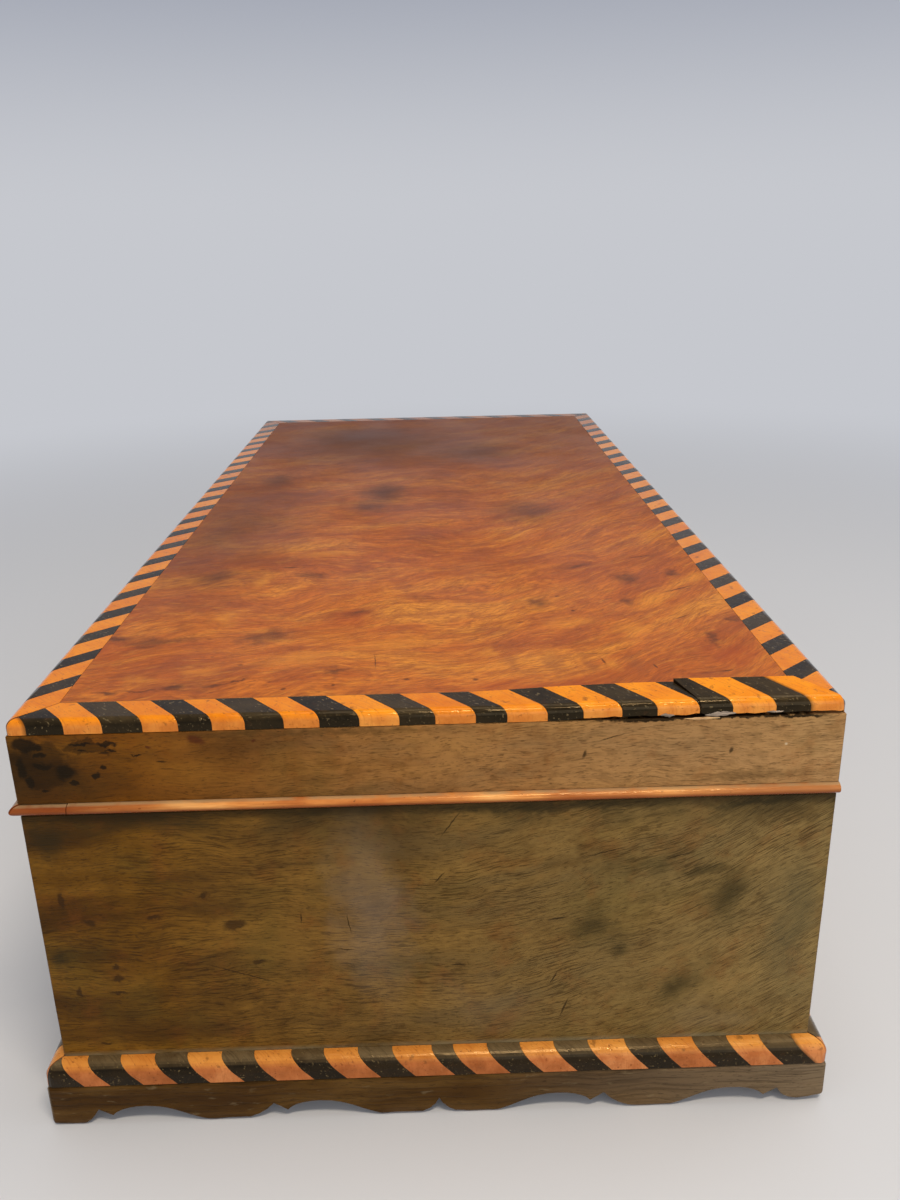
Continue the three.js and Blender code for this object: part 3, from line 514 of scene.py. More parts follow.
# the same painted light on the lid's sides
LID_PAINTED_LIGHT = "#B58D5C"
LID_HABITS = {"under_bead_darkening": (110, 120, 0), "lines": 0.25}  # no darkening or painted shadow under the bead: they would only start above the lid

end_walnut = walnut(
    "french_polished_walnut_right_end", "Y", CASE_TONES, CASE_PAINTED_LIGHT, CASE_END_MARKS,
    fan=0.0045, under_bead_darkening=(62, 68.5, 0.62),
)
lid_end_walnut = walnut(
    "french_polished_walnut_right_lid_edge", "Y", LID_TONES, LID_PAINTED_LIGHT, LID_END_MARKS,
    shift=5.0, **LID_HABITS,
)
left_walnut = walnut("french_polished_walnut_left_end", "Y", CASE_TONES, CASE_PAINTED_LIGHT, shift=11.0)
side_walnut = walnut("french_polished_walnut_sides", "X", CASE_TONES, CASE_PAINTED_LIGHT, shift=17.0)
lid_left_walnut = walnut(
    "french_polished_walnut_left_lid_edge", "Y", LID_TONES, LID_PAINTED_LIGHT, shift=14.0, **LID_HABITS,
)
lid_side_walnut = walnut(
    "french_polished_walnut_lid_sides", "X", LID_TONES, LID_PAINTED_LIGHT, shift=21.0, **LID_HABITS,
)

# %% [markdown]
# ## Dry woods inside
# Nobody polished what nobody sees. The inner faces are bare walnut, paler and dusty, and the bottom, the
# lid's underside and the glue blocks are a plain softwood that has gone brown. Bare wood scatters light,
# so it is rough, and its fibres are torn a little, as the saw and the plane left them.

# %% Dry woods
BARE = {}  # nothing over the wood, so the shader keeps its defaults


def dry_wood(name, dark, light, pore_colour, shift):
    material, tree, place = start_material(name)
    bands = figure(tree, place, (120, 5, 5), 0.35, 0.65, shift=(shift, shift, 0))
    colour = add(tree, "ValToRGB", {0: bands}, stops=[(0, dark), (1, light)]).outputs[0]
    fibres = figure(tree, place, (14, 0.7, 0.7), 0.45, 0.7, 4.0)
    dust = figure(tree, place, (24, 24, 24), 0.45, 0.75)
    colour = coated(tree, colour, (fibres, pore_colour, 0.45), (dust, "#8C7B63", 0.3))
    polished(tree, colour, dust, (0.68, 0.82), fibres, -0.05, BARE)
    return material


bare_walnut = dry_wood("bare_walnut_inside", "#6B4D30", "#85653F", "#3E2A17", 4.0)
softwood = dry_wood("aged_pine", "#8B6436", "#A67F4B", "#6A4622", 9.0)

# %% [markdown]
# ## The marks on the lid
# The lid's near end has been handled, spilled on and knocked for a century. It glows where the polish is
# thick and is dark where spills and wax have soaked in. These marks too are rows, from the widest to the
# smallest.

# %% Marks on the lid
LID_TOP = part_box("lid_panel")[1].z / MM


def on_the_lid(x, y, half_x, half_y, turn=0):
    return (x, y, LID_TOP), (half_x, half_y, THROUGH), (0, 0, turn)


# colour, strength, how ragged, how full, and the marks: x, y, half x, half y and a turn
LID_MARKS = (
    # glowing patches
    ("#DE8E2C", 0.42, 3.5, 0.0, [
        (132, -26, 5, 12), (107, -45, 7, 6), (136, -45, 3.5, 5), (140.5, -54, 3, 6), (82, -41, 9, 4),
        (124, -6, 5, 12, 14), (131, 12, 6, 2.6), (132, 25, 6, 2.6), (138, 36, 6, 2), (115, 31, 5, 9, 12),
        (120, 43, 4.5, 6, 25), (102, 52, 4, 12, 45), (86, 66, 4, 12, 42), (60, -27, 4, 15, 6),
    ]),
    # redder patches
    ("#9E3E12", 0.5, 6.0, 0.0, [(134, 62, 11, 9), (109, -16, 7, 7), (122, -66, 12, 7), (150, 20, 9, 20)]),
    # dark clouds
    ("#4E2A16", 0.65, 4.0, 0.0, [
        (-10, -13, 17, 10), (10, -18, 12, 12), (-31, -51, 16, 9), (77, -53, 9, 8), (120, -57, 3.4, 12),
        (119, -34, 4.6, 10), (106, -17, 3.6, 5), (78, -30, 4, 6), (87, 48, 7, 4), (83, 60, 4.5, 3.4),
        (103, 45, 5, 3), (102, 26, 6, 5), (126, 59, 7, 1.4), (115.6, 65, 2, 2), (76, 38, 2, 5, 10),
        (-70, 20, 30, 26), (-110, -30, 30, 30), (20, 30, 20, 16), (138, -18, 2, 5),
    ]),
    # dull bands between the glowing ones
    ("#8A4A20", 0.5, 1.6, 0.0, [
        (136, 16.5, 9, 2.6, 6), (136.5, 24.6, 10, 3.0, 8), (138, 31.6, 7, 1.8, 10),
        (138.5, 40.3, 6, 2.2, 10),
    ]),
    # a broad painted shade towards the middle
    ("#5A2E15", 0.7, 6.0, 0.0, [(30, -58, 100, 34), (-90, -20, 60, 60), (-7, -14, 20, 12)]),
    # smears beside the banding
    ("#4A2616", 0.75, 1.6, 0.1, [
        (144.1, -48.4, 1.6, 4.2, 8), (143.6, -40, 1.0, 3.4, 30), (145.6, -60, 1.2, 3.4),
        (145.2, -54, 0.8, 4), (141.5, -36.5, 0.6, 4, 35), (118, -66, 2, 6),
    ]),
)
LID_NICKS = (
    (133.9, -37.0, 0.5, 0.9), (134.1, -10.4, 4.6, 0.16, 5), (129.4, -43.5, 0.3, 0.6),
    (136.7, 34.4, 2.2, 0.3, 8), (144.8, -17.8, 0.6, 0.6), (114.2, 20.0, 0.4, 1.4, 4),
    (107.9, 32.4, 0.8, 0.6), (133, 33.5, 0.16, 6.8, -4), (130.8, 39.5, 0.3, 1.8, 30),
    (113.7, 55.2, 0.3, 3.0, 35), (83.9, 48.5, 0.5, 1.4), (98, 30, 0.6, 0.8), (69, 55, 0.4, 5, 20),
    (144, 9, 0.8, 0.8), (146, -27, 0.7, 0.7), (95, 59, 0.4, 6, 30), (143, -4, 0.5, 0.8),
    (140, 44, 1.4, 0.3, 10), (70.9, -35.1, 0.7, 2.9), (143, 57, 0.4, 2.2, 15),
)
print("marks on the lid:", sum(len(group[-1]) for group in LID_MARKS) + len(LID_NICKS))

# %% [markdown]
# ## The lid's figured veneer
# The top is a leaf of figured walnut, cut where the trunk forks, so that its grain runs across the lid
# and then sweeps away in a fan. Reddish-orange polish lies over it, and under the polish the fibres lean
# to and fro, which is why it looks like flame: some bands are bright and some are dull. It could be a
# painted picture, but the same few habits do it: the grain's own run is bent, and then clouds of many
# sizes are drawn out along it, as bright bands, dull ones, mottle, speckle, sparks, threads, feathery
# lines and pores. The far part is painted a darker brown, which is painted shade. The nicks go through
# the polish, so they are also in the relief.

# %% Figured walnut for the lid
VENEER_LEAN = 0.12
VENEER_FAN = 0.0075
FEATHER_TURN = math.radians(38)  # between the grain and the feathery lines that cross it
FAR_PAINTED_SHADE = (80.0, -130.0)  # along the lid, where its painted shade, a darker brown, starts and is full
NICK_DEPTH = 1.5  # in depths of a pore


def figured_veneer():
    material, tree, place = start_material("figured_walnut_veneer")
    x, y, z = add(tree, "SeparateXYZ", {0: place}).outputs
    sideways = swept(tree, y, x, VENEER_LEAN, VENEER_FAN)
    run = add(tree, "CombineXYZ", {0: y, 1: sideways, 2: z}).outputs[0]
    run = bent(tree, bent(tree, run, 45, (14, 30, 0)), 11, (4, 3.2, 0))
    slanted = add(tree, "Mapping", {"Vector": run, "Rotation": (0, 0, FEATHER_TURN)}).outputs[0]
    broad = figure(tree, run, (44, 17, 40), 0.3, 0.68, 8.0, (2.3, 1.1, 0), 0.66)
    stops = [(0, "#A04E1D"), (1, "#DE8C2C"), (0.35, "#BC611D"), (0.68, "#CE7322")]
    colour = add(tree, "ValToRGB", {0: broad}, stops=stops).outputs[0]
    threads = figure(tree, run, (8, 0.5, 40), 0.46, 0.66, 4.0, crisp=0.6)
    pores = figure(tree, run, (2.0, 0.24, 40), 0.58, 0.68, 2.0)
    nicks = blemishes(tree, place, 0.25, 0.3, itertools.starmap(on_the_lid, LID_NICKS))
    colour = coated(
        tree, colour,
        (figure(tree, run, (24, 6, 40), 0.5, 0.72, 8.0, (7, 3, 0), 0.68), "#DC8C2C", 0.45),
        (figure(tree, run, (15, 7, 40), 0.48, 0.7, 8.0, (1, 9, 4), 0.68), "#7E3F20", 0.5),
        (figure(tree, run, (4.6, 2.4, 40), 0.42, 0.64, 6.0, (4, 4, 0), 0.7), "#934818", 0.5),
        (figure(tree, run, (1.5, 0.9, 40), 0.5, 0.7, 4.0, (2, 8, 0), 0.6), "#7A3A16", 0.34),
        (figure(tree, run, (6, 1.6, 40), 0.54, 0.7, 6.0, (9, 4, 0), 0.65), "#E09434", 0.4),
        (threads, "#74360F", 0.36),
        (figure(tree, slanted, (7, 0.8, 40), 0.46, 0.68, 4.0, (4, 4, 0), 0.6), "#87431A", 0.34),
        (pores, "#5B2A14", 0.5),
        *coats_of_marks(tree, place, on_the_lid, LID_MARKS),
        (nicks, "#43200F", 0.75),
        # painted shade: darker brown towards the far end
        (across(tree, place, "X", *FAR_PAINTED_SHADE, "SMOOTHSTEP"), "#5C3313", 0.6),
    )
    rubbed = figure(tree, place, (35, 30, 30), 0.35, 0.7, 4.0, (5, 5, 5))
    relief = add(tree, "Math", {0: threads, 1: pores}, operation="ADD").outputs[0]
    relief = add(tree, "Math", {0: nicks, 1: NICK_DEPTH, 2: relief}, operation="MULTIPLY_ADD").outputs[0]
    polished(tree, colour, rubbed, (0.38, 0.5), relief, -0.01, LID_SHELLAC)
    return material


veneer = figured_veneer()

# %% [markdown]
# ## The two woods of the banding
# The banding is sawn from a sandwich of satinwood, an orange-yellow wood with a silky shine, and sycamore
# that was dyed black in a bath of iron and vinegar. The dye isn't even, so brown shows through where a
# slice is worn. On the lid, upper faces have been handled and sunned, and their polish has gone amber. On
# the base, dust has settled on the black slices' upper faces, and the orange slices' upper faces are
# painted lighter, which is painted light from above. Towards the far end all of it is darker. Each slice
# has a tone of its own and knows how near its glued edge is, which the mesh gives as two attributes.

# %% Satinwood and ebonised sycamore
FIBRES_TURN = math.radians(45)  # the sandwich was sawn at half a right angle, so its fibres slant
DARKER_TOWARDS_FAR_END = (-100.0, -157.0)  # along the box, where it starts and ends to turn darker towards the far end
SEAM = (0.8, 1.0)  # the mesh gives 1 at a glued edge


def banding_wood(name, tones, top, flecks, line_colour, rough, relief, film):
    """Top is its darkest and lightest colour, a strength, and how upright a face is where that starts and is
    full. Flecks are a colour and a strength."""
    material, tree, place = start_material(name)
    tone = add(tree, "Attribute", attribute_name="tone").outputs["Fac"]
    blotch = figure(tree, place, (3.5, 3.5, 3.5), 0.3, 0.7, 5.0, crisp=0.6)
    tone = add(tree, "Math", {0: blotch, 1: 0.45, 2: tone}, operation="MULTIPLY_ADD").outputs[0]
    stops = [(0.1, tones[0]), (1, tones[2]), (0.6, tones[1])]
    colour = add(tree, "ValToRGB", {0: tone}, stops=stops).outputs[0]
    darkest, lightest, strength, start, full = top
    upper = add(tree, "ValToRGB", {0: tone}, stops=[(0.1, darkest), (1, lightest)]).outputs[0]
    facing = add(tree, "TexCoord").outputs["Normal"]
    slanted = add(tree, "Mapping", {"Vector": place, "Rotation": (0, 0, FIBRES_TURN)}).outputs[0]
    fibres = figure(tree, slanted, (0.3, 4.5, 2.5), 0.5, 0.7)
    spots = figure(tree, slanted, (0.45, 1.0, 0.5), 0.61, 0.71, 4.0, (3, 1, 4))
    seam = add(tree, "Attribute", attribute_name="seam").outputs["Fac"]
    seam = add(tree, "MapRange", {"Value": seam, "From Min": SEAM[0], "From Max": SEAM[1]}).outputs[0]
    colour = coated(
        tree, colour,
        # upper faces take their upper colour, which on the base's satinwood is painted light
        (across(tree, facing, "Z", start, full), upper, strength),
        (fibres, line_colour, 0.3),
        (spots, *flecks),
        (across(tree, place, "X", *DARKER_TOWARDS_FAR_END), "#4A3320", 0.6),
        (seam, "#22150B", 0.75),
        (figure(tree, place, (1.8, 1.8, 1.4), 0.62, 0.74, 5.0), "#3B2413", 0.5),
    )
    height = add(tree, "Math", {0: fibres, 1: spots}, operation="ADD").outputs[0]
    rubbed = figure(tree, place, (3, 3, 3), 0.3, 0.7, 4.0, (9, 9, 9))
    polished(tree, colour, rubbed, rough, height, relief, film)
    return material


AMBER_TOP = ("#DA7208", "#F2920C", 0.9, 0.25, 0.85)
# painted light: the base's satinwood is lighter on its upper faces, as lit from above
PAINTED_LIT_AMBER = ("#D28030", "#E69C42", 0.85, 0.35, 0.8)
BROWNED_TOP = ("#221A0E", "#463822", 0.85, 0.3, 0.9)
DUSTY_LEDGE = ("#513F26", "#746040", 0.85, 0.5, 0.9)
satinwood = {
    "lid": banding_wood(
        "satinwood_on_the_lid", ("#B86322", "#D27C30", "#E2923E"), AMBER_TOP, ("#8E4A1C", 0.5), "#B3611F",
        (0.05, 0.13), -0.012, BURNISHED,
    ),
    "base": banding_wood(
        "satinwood_on_the_base", ("#8C4A20", "#B46634", "#CC8048"), PAINTED_LIT_AMBER, ("#6E3214", 0.6), "#9C4C1E",
        (0.1, 0.28), -0.012, BURNISHED,
    ),
}
ebonised = {
    "lid": banding_wood(
        "ebonised_sycamore_on_the_lid", ("#100D08", "#17130D", "#231B10"), BROWNED_TOP, ("#85724F", 0.5),
        "#0B0806", (0.06, 0.15), 0.012, SUBDUED,
    ),
    "base": banding_wood(
        "ebonised_sycamore_on_the_base", ("#0D0B0A", "#15110D", "#221910"), DUSTY_LEDGE, ("#857048", 0.45),
        "#0B0806", (0.1, 0.28), 0.012, SUBDUED,
    ),
}

# %% [markdown]
# ## Pear wood for the bead
# The bead is a strip of pear wood, a close, even, reddish wood that burnishes like glass, so it has the
# sharpest shine on the box. It is darker towards the front and greyer towards the back, its underside is
# painted brown as shade, and dust lies on its upper side.

# %% Pear wood
def fruitwood():
    material, tree, place = start_material("pear_wood_bead")
    facing = add(tree, "TexCoord").outputs["Normal"]
    tone = figure(tree, place, (22, 18, 4.0), 0.3, 0.7, 4.0)
    stops = [(0, "#B0602A"), (1, "#F0B066"), (0.55, "#DC8F48")]
    colour = add(tree, "ValToRGB", {0: tone}, stops=stops).outputs[0]
    lines = figure(tree, place, (9, 9, 0.3), 0.5, 0.68)
    patchy = figure(tree, place, (5, 5, 5), 0.25, 0.55, 5.0)
    colour = coated(
        tree, colour,
        (lines, "#8A4418", 0.35),
        (figure(tree, place, (1.3, 1.3, 0.5), 0.68, 0.74, 4.0), "#43200F", 0.7),
        (across(tree, place, "Y", -40.0, -66.0), "#7A3414", 0.9),
        (across(tree, place, "Y", 20.0, 75.0), "#A97040", 0.65),
        # painted shade: the underside brown
        (across(tree, facing, "Z", 0.4, -0.5), "#7A3612", 0.85),
        (across(tree, facing, "Z", 0.8, 0.96), "#A58C64", 0.7, patchy),
    )
    wear = figure(tree, place, (8, 8, 3), 0.3, 0.7)
    polished(tree, colour, wear, (0.12, 0.26), lines, -0.02, BURNISHED)
    return material


pear_wood = fruitwood()

# %% [markdown]
# ## Worn walnut and bare splinters
# The plinth is walnut like the walls, but it has stood on tables and been kicked by dusters, so its
# polish is nearly gone: it is rougher, greyer towards the back, and pale along its lowest 3 mm. The
# splinters are bare. Wood that broke not long ago is bright and dry, and old glue with dust in it is a
# dull grey brown.

# %% Worn walnut and bare splinters
HEM = (3.0, 0.0)  # the level where the plinth's foot starts to be worn pale, and where it is palest


def apron_walnut(name, along, shift):
    material, tree, place = start_material(name)
    grain = bent(tree, run_of_grain(tree, place, along), 14, (3, 3, 3))
    broad = figure(tree, grain, (32, 6, 20), 0.3, 0.7, 5.0, (shift, shift, 0), 0.6)
    stops = [(0, "#3A230A"), (1, "#5E421C"), (0.5, "#4B3110")]
    colour = add(tree, "ValToRGB", {0: broad}, stops=stops).outputs[0]
    fibres = figure(tree, grain, (16, 0.6, 2), 0.45, 0.66, 4.0)
    patchy = figure(tree, place, (6, 6, 3), 0.4, 0.7, 4.0)
    colour = coated(
        tree, colour,
        (across(tree, grain, "X", 10.0, 80.0), "#857258", 0.75),
        (fibres, "#22160B", 0.4),
        (figure(tree, grain, PORE, 0.6, 0.68, 2.0), "#20150B", 0.55),
        (across(tree, place, "Z", *HEM), "#6A5034", 0.55, patchy),
        (figure(tree, place, (4, 4, 1.2), 0.62, 0.74, 5.0, (7, 2, 5)), "#7F6E50", 0.4),
    )
    polished(tree, colour, patchy, (0.46, 0.64), fibres, -0.03, OLD_SHELLAC)
    return material


def bare_splinter(name, dark, light):
    material, tree, place = start_material(name)
    fibres = figure(tree, place, (3, 3, 0.25), 0.35, 0.65, 4.0)
    colour = add(tree, "ValToRGB", {0: fibres}, stops=[(0, dark), (1, light)]).outputs[0]
    polished(tree, colour, fibres, (0.6, 0.8), fibres, 0.04, BARE)
    return material


apron_end_wood = apron_walnut("worn_walnut_plinth_ends", "Y", 3.0)
apron_side_wood = apron_walnut("worn_walnut_plinth_sides", "X", 8.0)
fresh_wood = bare_splinter("fresh_broken_wood", "#A87D4B", "#D9B27A")
filler = bare_splinter("old_glue_and_dust", "#6E6050", "#A6937E")

# %% [markdown]
# ## Brass and steel
# The hinges and the lock are cast brass, filed and brushed lengthwise, and the pins and the bolt are mild
# steel. Nobody has polished them for a long time, so both are dull, with small spots of brown tarnish or
# rust that are rougher than the metal round them.

# %% Brass and steel
METAL = {"Metallic": 1.0}


def aged_metal(name, dark, light, tarnish, rough):
    material, tree, place = start_material(name)
    worn = figure(tree, place, (4, 4, 4), 0.35, 0.7, 5.0)
    colour = add(tree, "ValToRGB", {0: worn}, stops=[(0, dark), (1, light)]).outputs[0]
    spots = figure(tree, place, (1.2, 1.2, 1.2), 0.56, 0.7, 4.0, (2, 5, 8))
    colour = coated(tree, colour, (spots, tarnish, 0.6))
    brushed = figure(tree, place, (6, 0.15, 0.15), 0.3, 0.7)
    rougher = add(tree, "Math", {0: worn, 1: spots}, operation="MAXIMUM").outputs[0]
    polished(tree, colour, rougher, rough, brushed, 0.004, METAL)
    return material


brass = aged_metal("aged_cast_brass", "#A98343", "#CBA65E", "#5E4524", (0.3, 0.5))
steel = aged_metal("dull_mild_steel", "#77736C", "#94918B", "#4A4038", (0.35, 0.55))

# %% [markdown]
# ## The sides of the box
# A box is four sides that meet at mitres, so most pieces are made once in a side's own directions, X
# along it, Y straight out and Z up, and then turned into place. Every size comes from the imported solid
# that the piece stands for.

# %% A side's own directions
TURN_OF_SIDE = {"back": 0, "right": -90, "front": 180, "left": 90}
AXIS_OF_SIDE = {"back": 0, "right": 1, "front": 0, "left": 1}  # a side runs along the frame's X or its Y


def turn_of(side):
    return Matrix.Rotation(math.radians(TURN_OF_SIDE[side]), 4, "Z")


def turned(bm, side):
    """Turns a piece that was made in its side's own directions into its place in the frame."""
    bmesh.ops.transform(bm, matrix=turn_of(side), verts=bm.verts)
    return bm


def extent(node, side):
    """Lowest and highest corner of a solid, in its side's own directions."""
    corners = [turn_of(side).inverted() @ Vector(c) for c in itertools.product(*zip(*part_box(node)))]
    return Vector(map(min, zip(*corners))), Vector(map(max, zip(*corners)))


def ring_box(kind):
    """Lowest and highest corner of the four pieces of a kind that go round the box."""
    boxes = [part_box(f"{kind}_{side}") for side in TURN_OF_SIDE]
    return Vector(map(min, zip(*[b[0] for b in boxes]))), Vector(map(max, zip(*[b[1] for b in boxes])))


LID_BOX = ring_box("lid_moulding")
CASE_BOX = ring_box("case")
PLINTH_BOX = ring_box("apron")
print("lid in mm:", [round(v / MM, 1) for v in LID_BOX[1] - LID_BOX[0]])

# %% [markdown]
# ## Easing the edges
# A cabinetmaker glues the box up first and then sands it as one piece, so two boards that meet at a
# corner share one soft edge. A bevel on each board would put a groove along every mitre instead. So here
# each piece is cut by a few planes near the outer faces of the whole box, and then each point in the last
# half millimetre is drawn in until a square corner has become a round one. Where hands and knocks have
# worn it, it is drawn in a little more.

# %% Tools for easing edges
ROUNDING_STEPS = 3
WORN_PATCHES = ((9 * MM, 1.0), (3 * MM, 0.5))  # how big the worn patches are, and how much each kind counts
TINY = 1e-8


def saw_through(bm, place, normal, **more):
    """Cuts the faces where a plane crosses them."""
    everything = bm.verts[:] + bm.edges[:] + bm.faces[:]
    bmesh.ops.bisect_plane(bm, geom=everything, plane_co=place, plane_no=normal, **more)


def cut_across(bm, axis, level):
    """Cuts the faces where a plane square to an axis crosses them, and takes nothing away."""
    place = Vector()
    place[axis] = level
    normal = Vector()
    normal[axis] = 1.0
    saw_through(bm, place, normal, dist=1e-7)


def divide(bm, axis, start, end, spacing):
    count = max(1, round((end - start) / spacing))
    for i in range(1, count):
        cut_across(bm, axis, start + (end - start) * i / count)


def ease_edges(bm, low, high, radius, axes=(0, 1, 2), worn=0.0):
    """Rounds whatever lies on the edges of the box from low to high, and wears it down unevenly."""
    for axis in axes:
        for step in range(ROUNDING_STEPS):
            depth = radius * (1 - math.tan(math.pi / 4 * step / ROUNDING_STEPS))
            cut_across(bm, axis, low[axis] + depth)
            cut_across(bm, axis, high[axis] - depth)
    for vert in bm.verts:
        over = Vector()
        for axis in axes:
            above = max(vert.co[axis] - high[axis] + radius, 0)
            below = max(low[axis] + radius - vert.co[axis], 0)
            over[axis] = above - below
        widest = max(map(abs, over))
        if widest > 0 and sum(abs(share) > TINY for share in over) > 1:
            vert.co += over * (widest / over.length - 1)
            patch = sum(count * max(0.0, noise.noise(vert.co / size)) for size, count in WORN_PATCHES)
            vert.co -= over.normalized() * worn * patch * widest / radius


# %% [markdown]
# ## From a solid to a piece
# A imported solid comes as triangles. On the bench its flat faces are made whole again, because cuts across
# whole faces stay clean. When a piece is ready it takes the solid's place: it rides on the same body and
# replaces that solid.

# %% Bench copies and finished pieces
SAME_POINT = 1e-6
SAME_PLANE = math.radians(0.6)


def bench_copy(node):
    """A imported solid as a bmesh, with its flat faces whole again instead of cut into triangles."""
    bm = bmesh.new()
    bm.from_mesh(frame["nodes"][node].data)
    bmesh.ops.remove_doubles(bm, verts=bm.verts, dist=SAME_POINT)
    bmesh.ops.dissolve_limit(bm, angle_limit=SAME_PLANE, verts=bm.verts, edges=bm.edges)
    return bm


def fit_piece(name, bm, materials, node, sharp=35, smooth=True):
    """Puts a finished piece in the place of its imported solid. Edges over sharp degrees stay hard."""
    bmesh.ops.recalc_face_normals(bm, faces=bm.faces)
    piece = made_object(name, bm, materials)
    piece.data.polygons.foreach_set("use_smooth", [smooth] * len(piece.data.polygons))
    if smooth:
        piece.data.set_sharp_from_angle(angle=math.radians(sharp))
        shading = piece.modifiers.new("flat faces stay flat", "WEIGHTED_NORMAL")
        shading.keep_sharp = True
    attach(piece, BODY_OF[node])
    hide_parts(node)
    print(f"{name}: {len(piece.data.polygons)} faces")


# %% [markdown]
# ## Walls and lid sides
# Each wall is a mitred board. The outer face is polished and the inner face is dry, so a face that looks
# into the box takes the second material. The boards are divided every few millimetres along their edges,
# so that the wear has points to move.

# %% Walls and lid sides
WALL_RADIUS = 0.3 * MM
WALL_WEAR = 0.15 * MM
WEAR_SPACING = 4 * MM
WALL_WOODS = {"back": side_walnut, "right": end_walnut, "front": side_walnut, "left": left_walnut}
LID_WOODS = {
    "back": lid_side_walnut, "right": lid_end_walnut, "front": lid_side_walnut, "left": lid_left_walnut,
}
rail_low, rail_high = ring_box("lid_rail")
RAIL_BOX = Vector((*LID_BOX[0].xy, rail_low.z)), Vector((*LID_BOX[1].xy, rail_high.z))


def board(node, side, box):
    """A board with its edges eased, and the second material on the face that looks into the box."""
    bm = bench_copy(node)
    low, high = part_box(node)
    length = AXIS_OF_SIDE[side]
    divide(bm, length, low[length], high[length], WEAR_SPACING)
    divide(bm, 2, low.z, high.z, WEAR_SPACING)
    ease_edges(bm, *box, WALL_RADIUS, worn=WALL_WEAR)
    inwards = -(turn_of(side).to_3x3() @ Vector((0, 1, 0)))
    bmesh.ops.recalc_face_normals(bm, faces=bm.faces)
    for face in bm.faces:
        face.material_index = 1 if face.normal.dot(inwards) > 0.5 else 0
    return bm


for side in TURN_OF_SIDE:
    wall = board(f"case_{side}", side, CASE_BOX)
    fit_piece(f"{side}_wall", wall, [WALL_WOODS[side], bare_walnut], f"case_{side}")
    rail = board(f"lid_rail_{side}", side, RAIL_BOX)
    fit_piece(f"{side}_lid_side", rail, [LID_WOODS[side], bare_walnut], f"lid_rail_{side}")

# %% [markdown]
# ## The lid's panel
# The veneered field shows on top and dry wood underneath. Its edges meet the banding with a hairline
# between them, and no hand reaches them, so they stay sharp.

# %% Lid panel
panel = bench_copy("lid_panel")
for face in panel.faces:
    face.material_index = 0 if face.normal.z > 0.5 else 1
fit_piece("lid_field", panel, [veneer, softwood], "lid_panel", smooth=False)

# %% [markdown]
# ## Banded mouldings
# Each moulding is glued up from slices, so it is built from slices here too, instead of painting stripes
# on a plain strip. First comes its section, the shape that a plane leaves: the upper outer edge is
# rounded. On the lid that round is small, and on the base it is as wide as the moulding but for a narrow
# ledge at the wall.

# %% Sections of the mouldings
LID_ROUND = 1.6 * MM
BASE_RISE = 2.9 * MM
BASE_LEDGE = 0.5 * MM
ROUND_STEPS = 9


def rounded_section(low, high, reach, rise):
    """Points round a strip's end, with its upper outer edge rounded over a reach outwards and a rise."""
    angles = [math.pi / 2 * i / ROUND_STEPS for i in range(ROUND_STEPS + 1)]
    turn = [(high.y - reach + reach * math.cos(a), high.z - rise + rise * math.sin(a)) for a in angles]
    return [(low.y, low.z), (high.y, low.z), *turn, (low.y, high.z)]


def lid_section(low, high):
    return rounded_section(low, high, LID_ROUND, LID_ROUND)


def base_section(low, high):
    return rounded_section(low, high, high.y - low.y - BASE_LEDGE, BASE_RISE)


# %% [markdown]
# ## Saw cuts
# A slice is what stands between two slanting saw cuts. On the lid the cuts lean as they go in towards the
# field, and on the base as they rise, which makes both look like twisted ribbon. On the right-hand end
# the cuts lie where the photograph shows them, because the maker's slices weren't all of one width. On
# the other sides they are one slice apart, and the saw wanders a little.

# %% Saw cuts
SLICE_WIDTH = 6.75 * MM
DARK_SHARE = 0.44  # half the width of a dark slice, in slice widths: the light ones are a little wider
SAW_WANDER = 0.2 * MM
DARK = 0
LIGHT = 1


def even_cuts(node, reach, dark_at, lean):
    """Saw cuts one slice apart, with the middle of a dark slice at dark_at. A cut is how far along it meets
    the moulding's foot, how far it leans for each step inwards or up, and the wood that follows it."""
    pick = random.Random(f"{node} cuts")
    pairs = math.ceil(reach / (2 * SLICE_WIDTH)) + 2
    cuts = []
    for i in range(-pairs, pairs):
        middle = dark_at + 2 * SLICE_WIDTH * i
        for offset, wood in ((-DARK_SHARE, DARK), (DARK_SHARE, LIGHT)):
            cuts.append((middle + offset * SLICE_WIDTH + pick.uniform(-1, 1) * SAW_WANDER, lean, wood))
    return cuts


def seen_cuts(dark_slices, reach, lean):
    """Saw cuts on the right-hand end, from where its dark slices start and end, in millimetres from the
    middle towards the back. That end's own direction runs the other way."""
    edges = [(-end * MM, DARK) for _, end in dark_slices]
    edges += [(-start * MM, LIGHT) for start, _ in dark_slices]
    edges = [(-2 * reach, LIGHT), *sorted(edges), (2 * reach, LIGHT)]
    return [(place, lean, wood) for place, wood in edges]


print("slices in 100 mm:", round(100 * MM / SLICE_WIDTH, 1))

# %% [markdown]
# ## Gluing up a strip
# Between its two cuts a slice is a short prism. Each slice stands a hair higher or lower than its
# neighbour and has a tiny groove at each glue line, because slices that are glued end to end never quite
# agree. The strip is made too long and then sawn at 45 degrees, which leaves half a glue line at each
# mitre.

# %% Gluing up a strip
SLICE_RINGS = ((0.0, 1.0), (0.018, 0.0), (0.5, 0.0), (0.982, 0.0), (1.0, 1.0))  # where, and how sunk
GROOVE_DEPTH = 0.035 * MM
SLICE_UNEVEN = 0.02 * MM
GLUE_LINE = 0.1 * MM
MITRE_GAP = GLUE_LINE / math.sqrt(2)


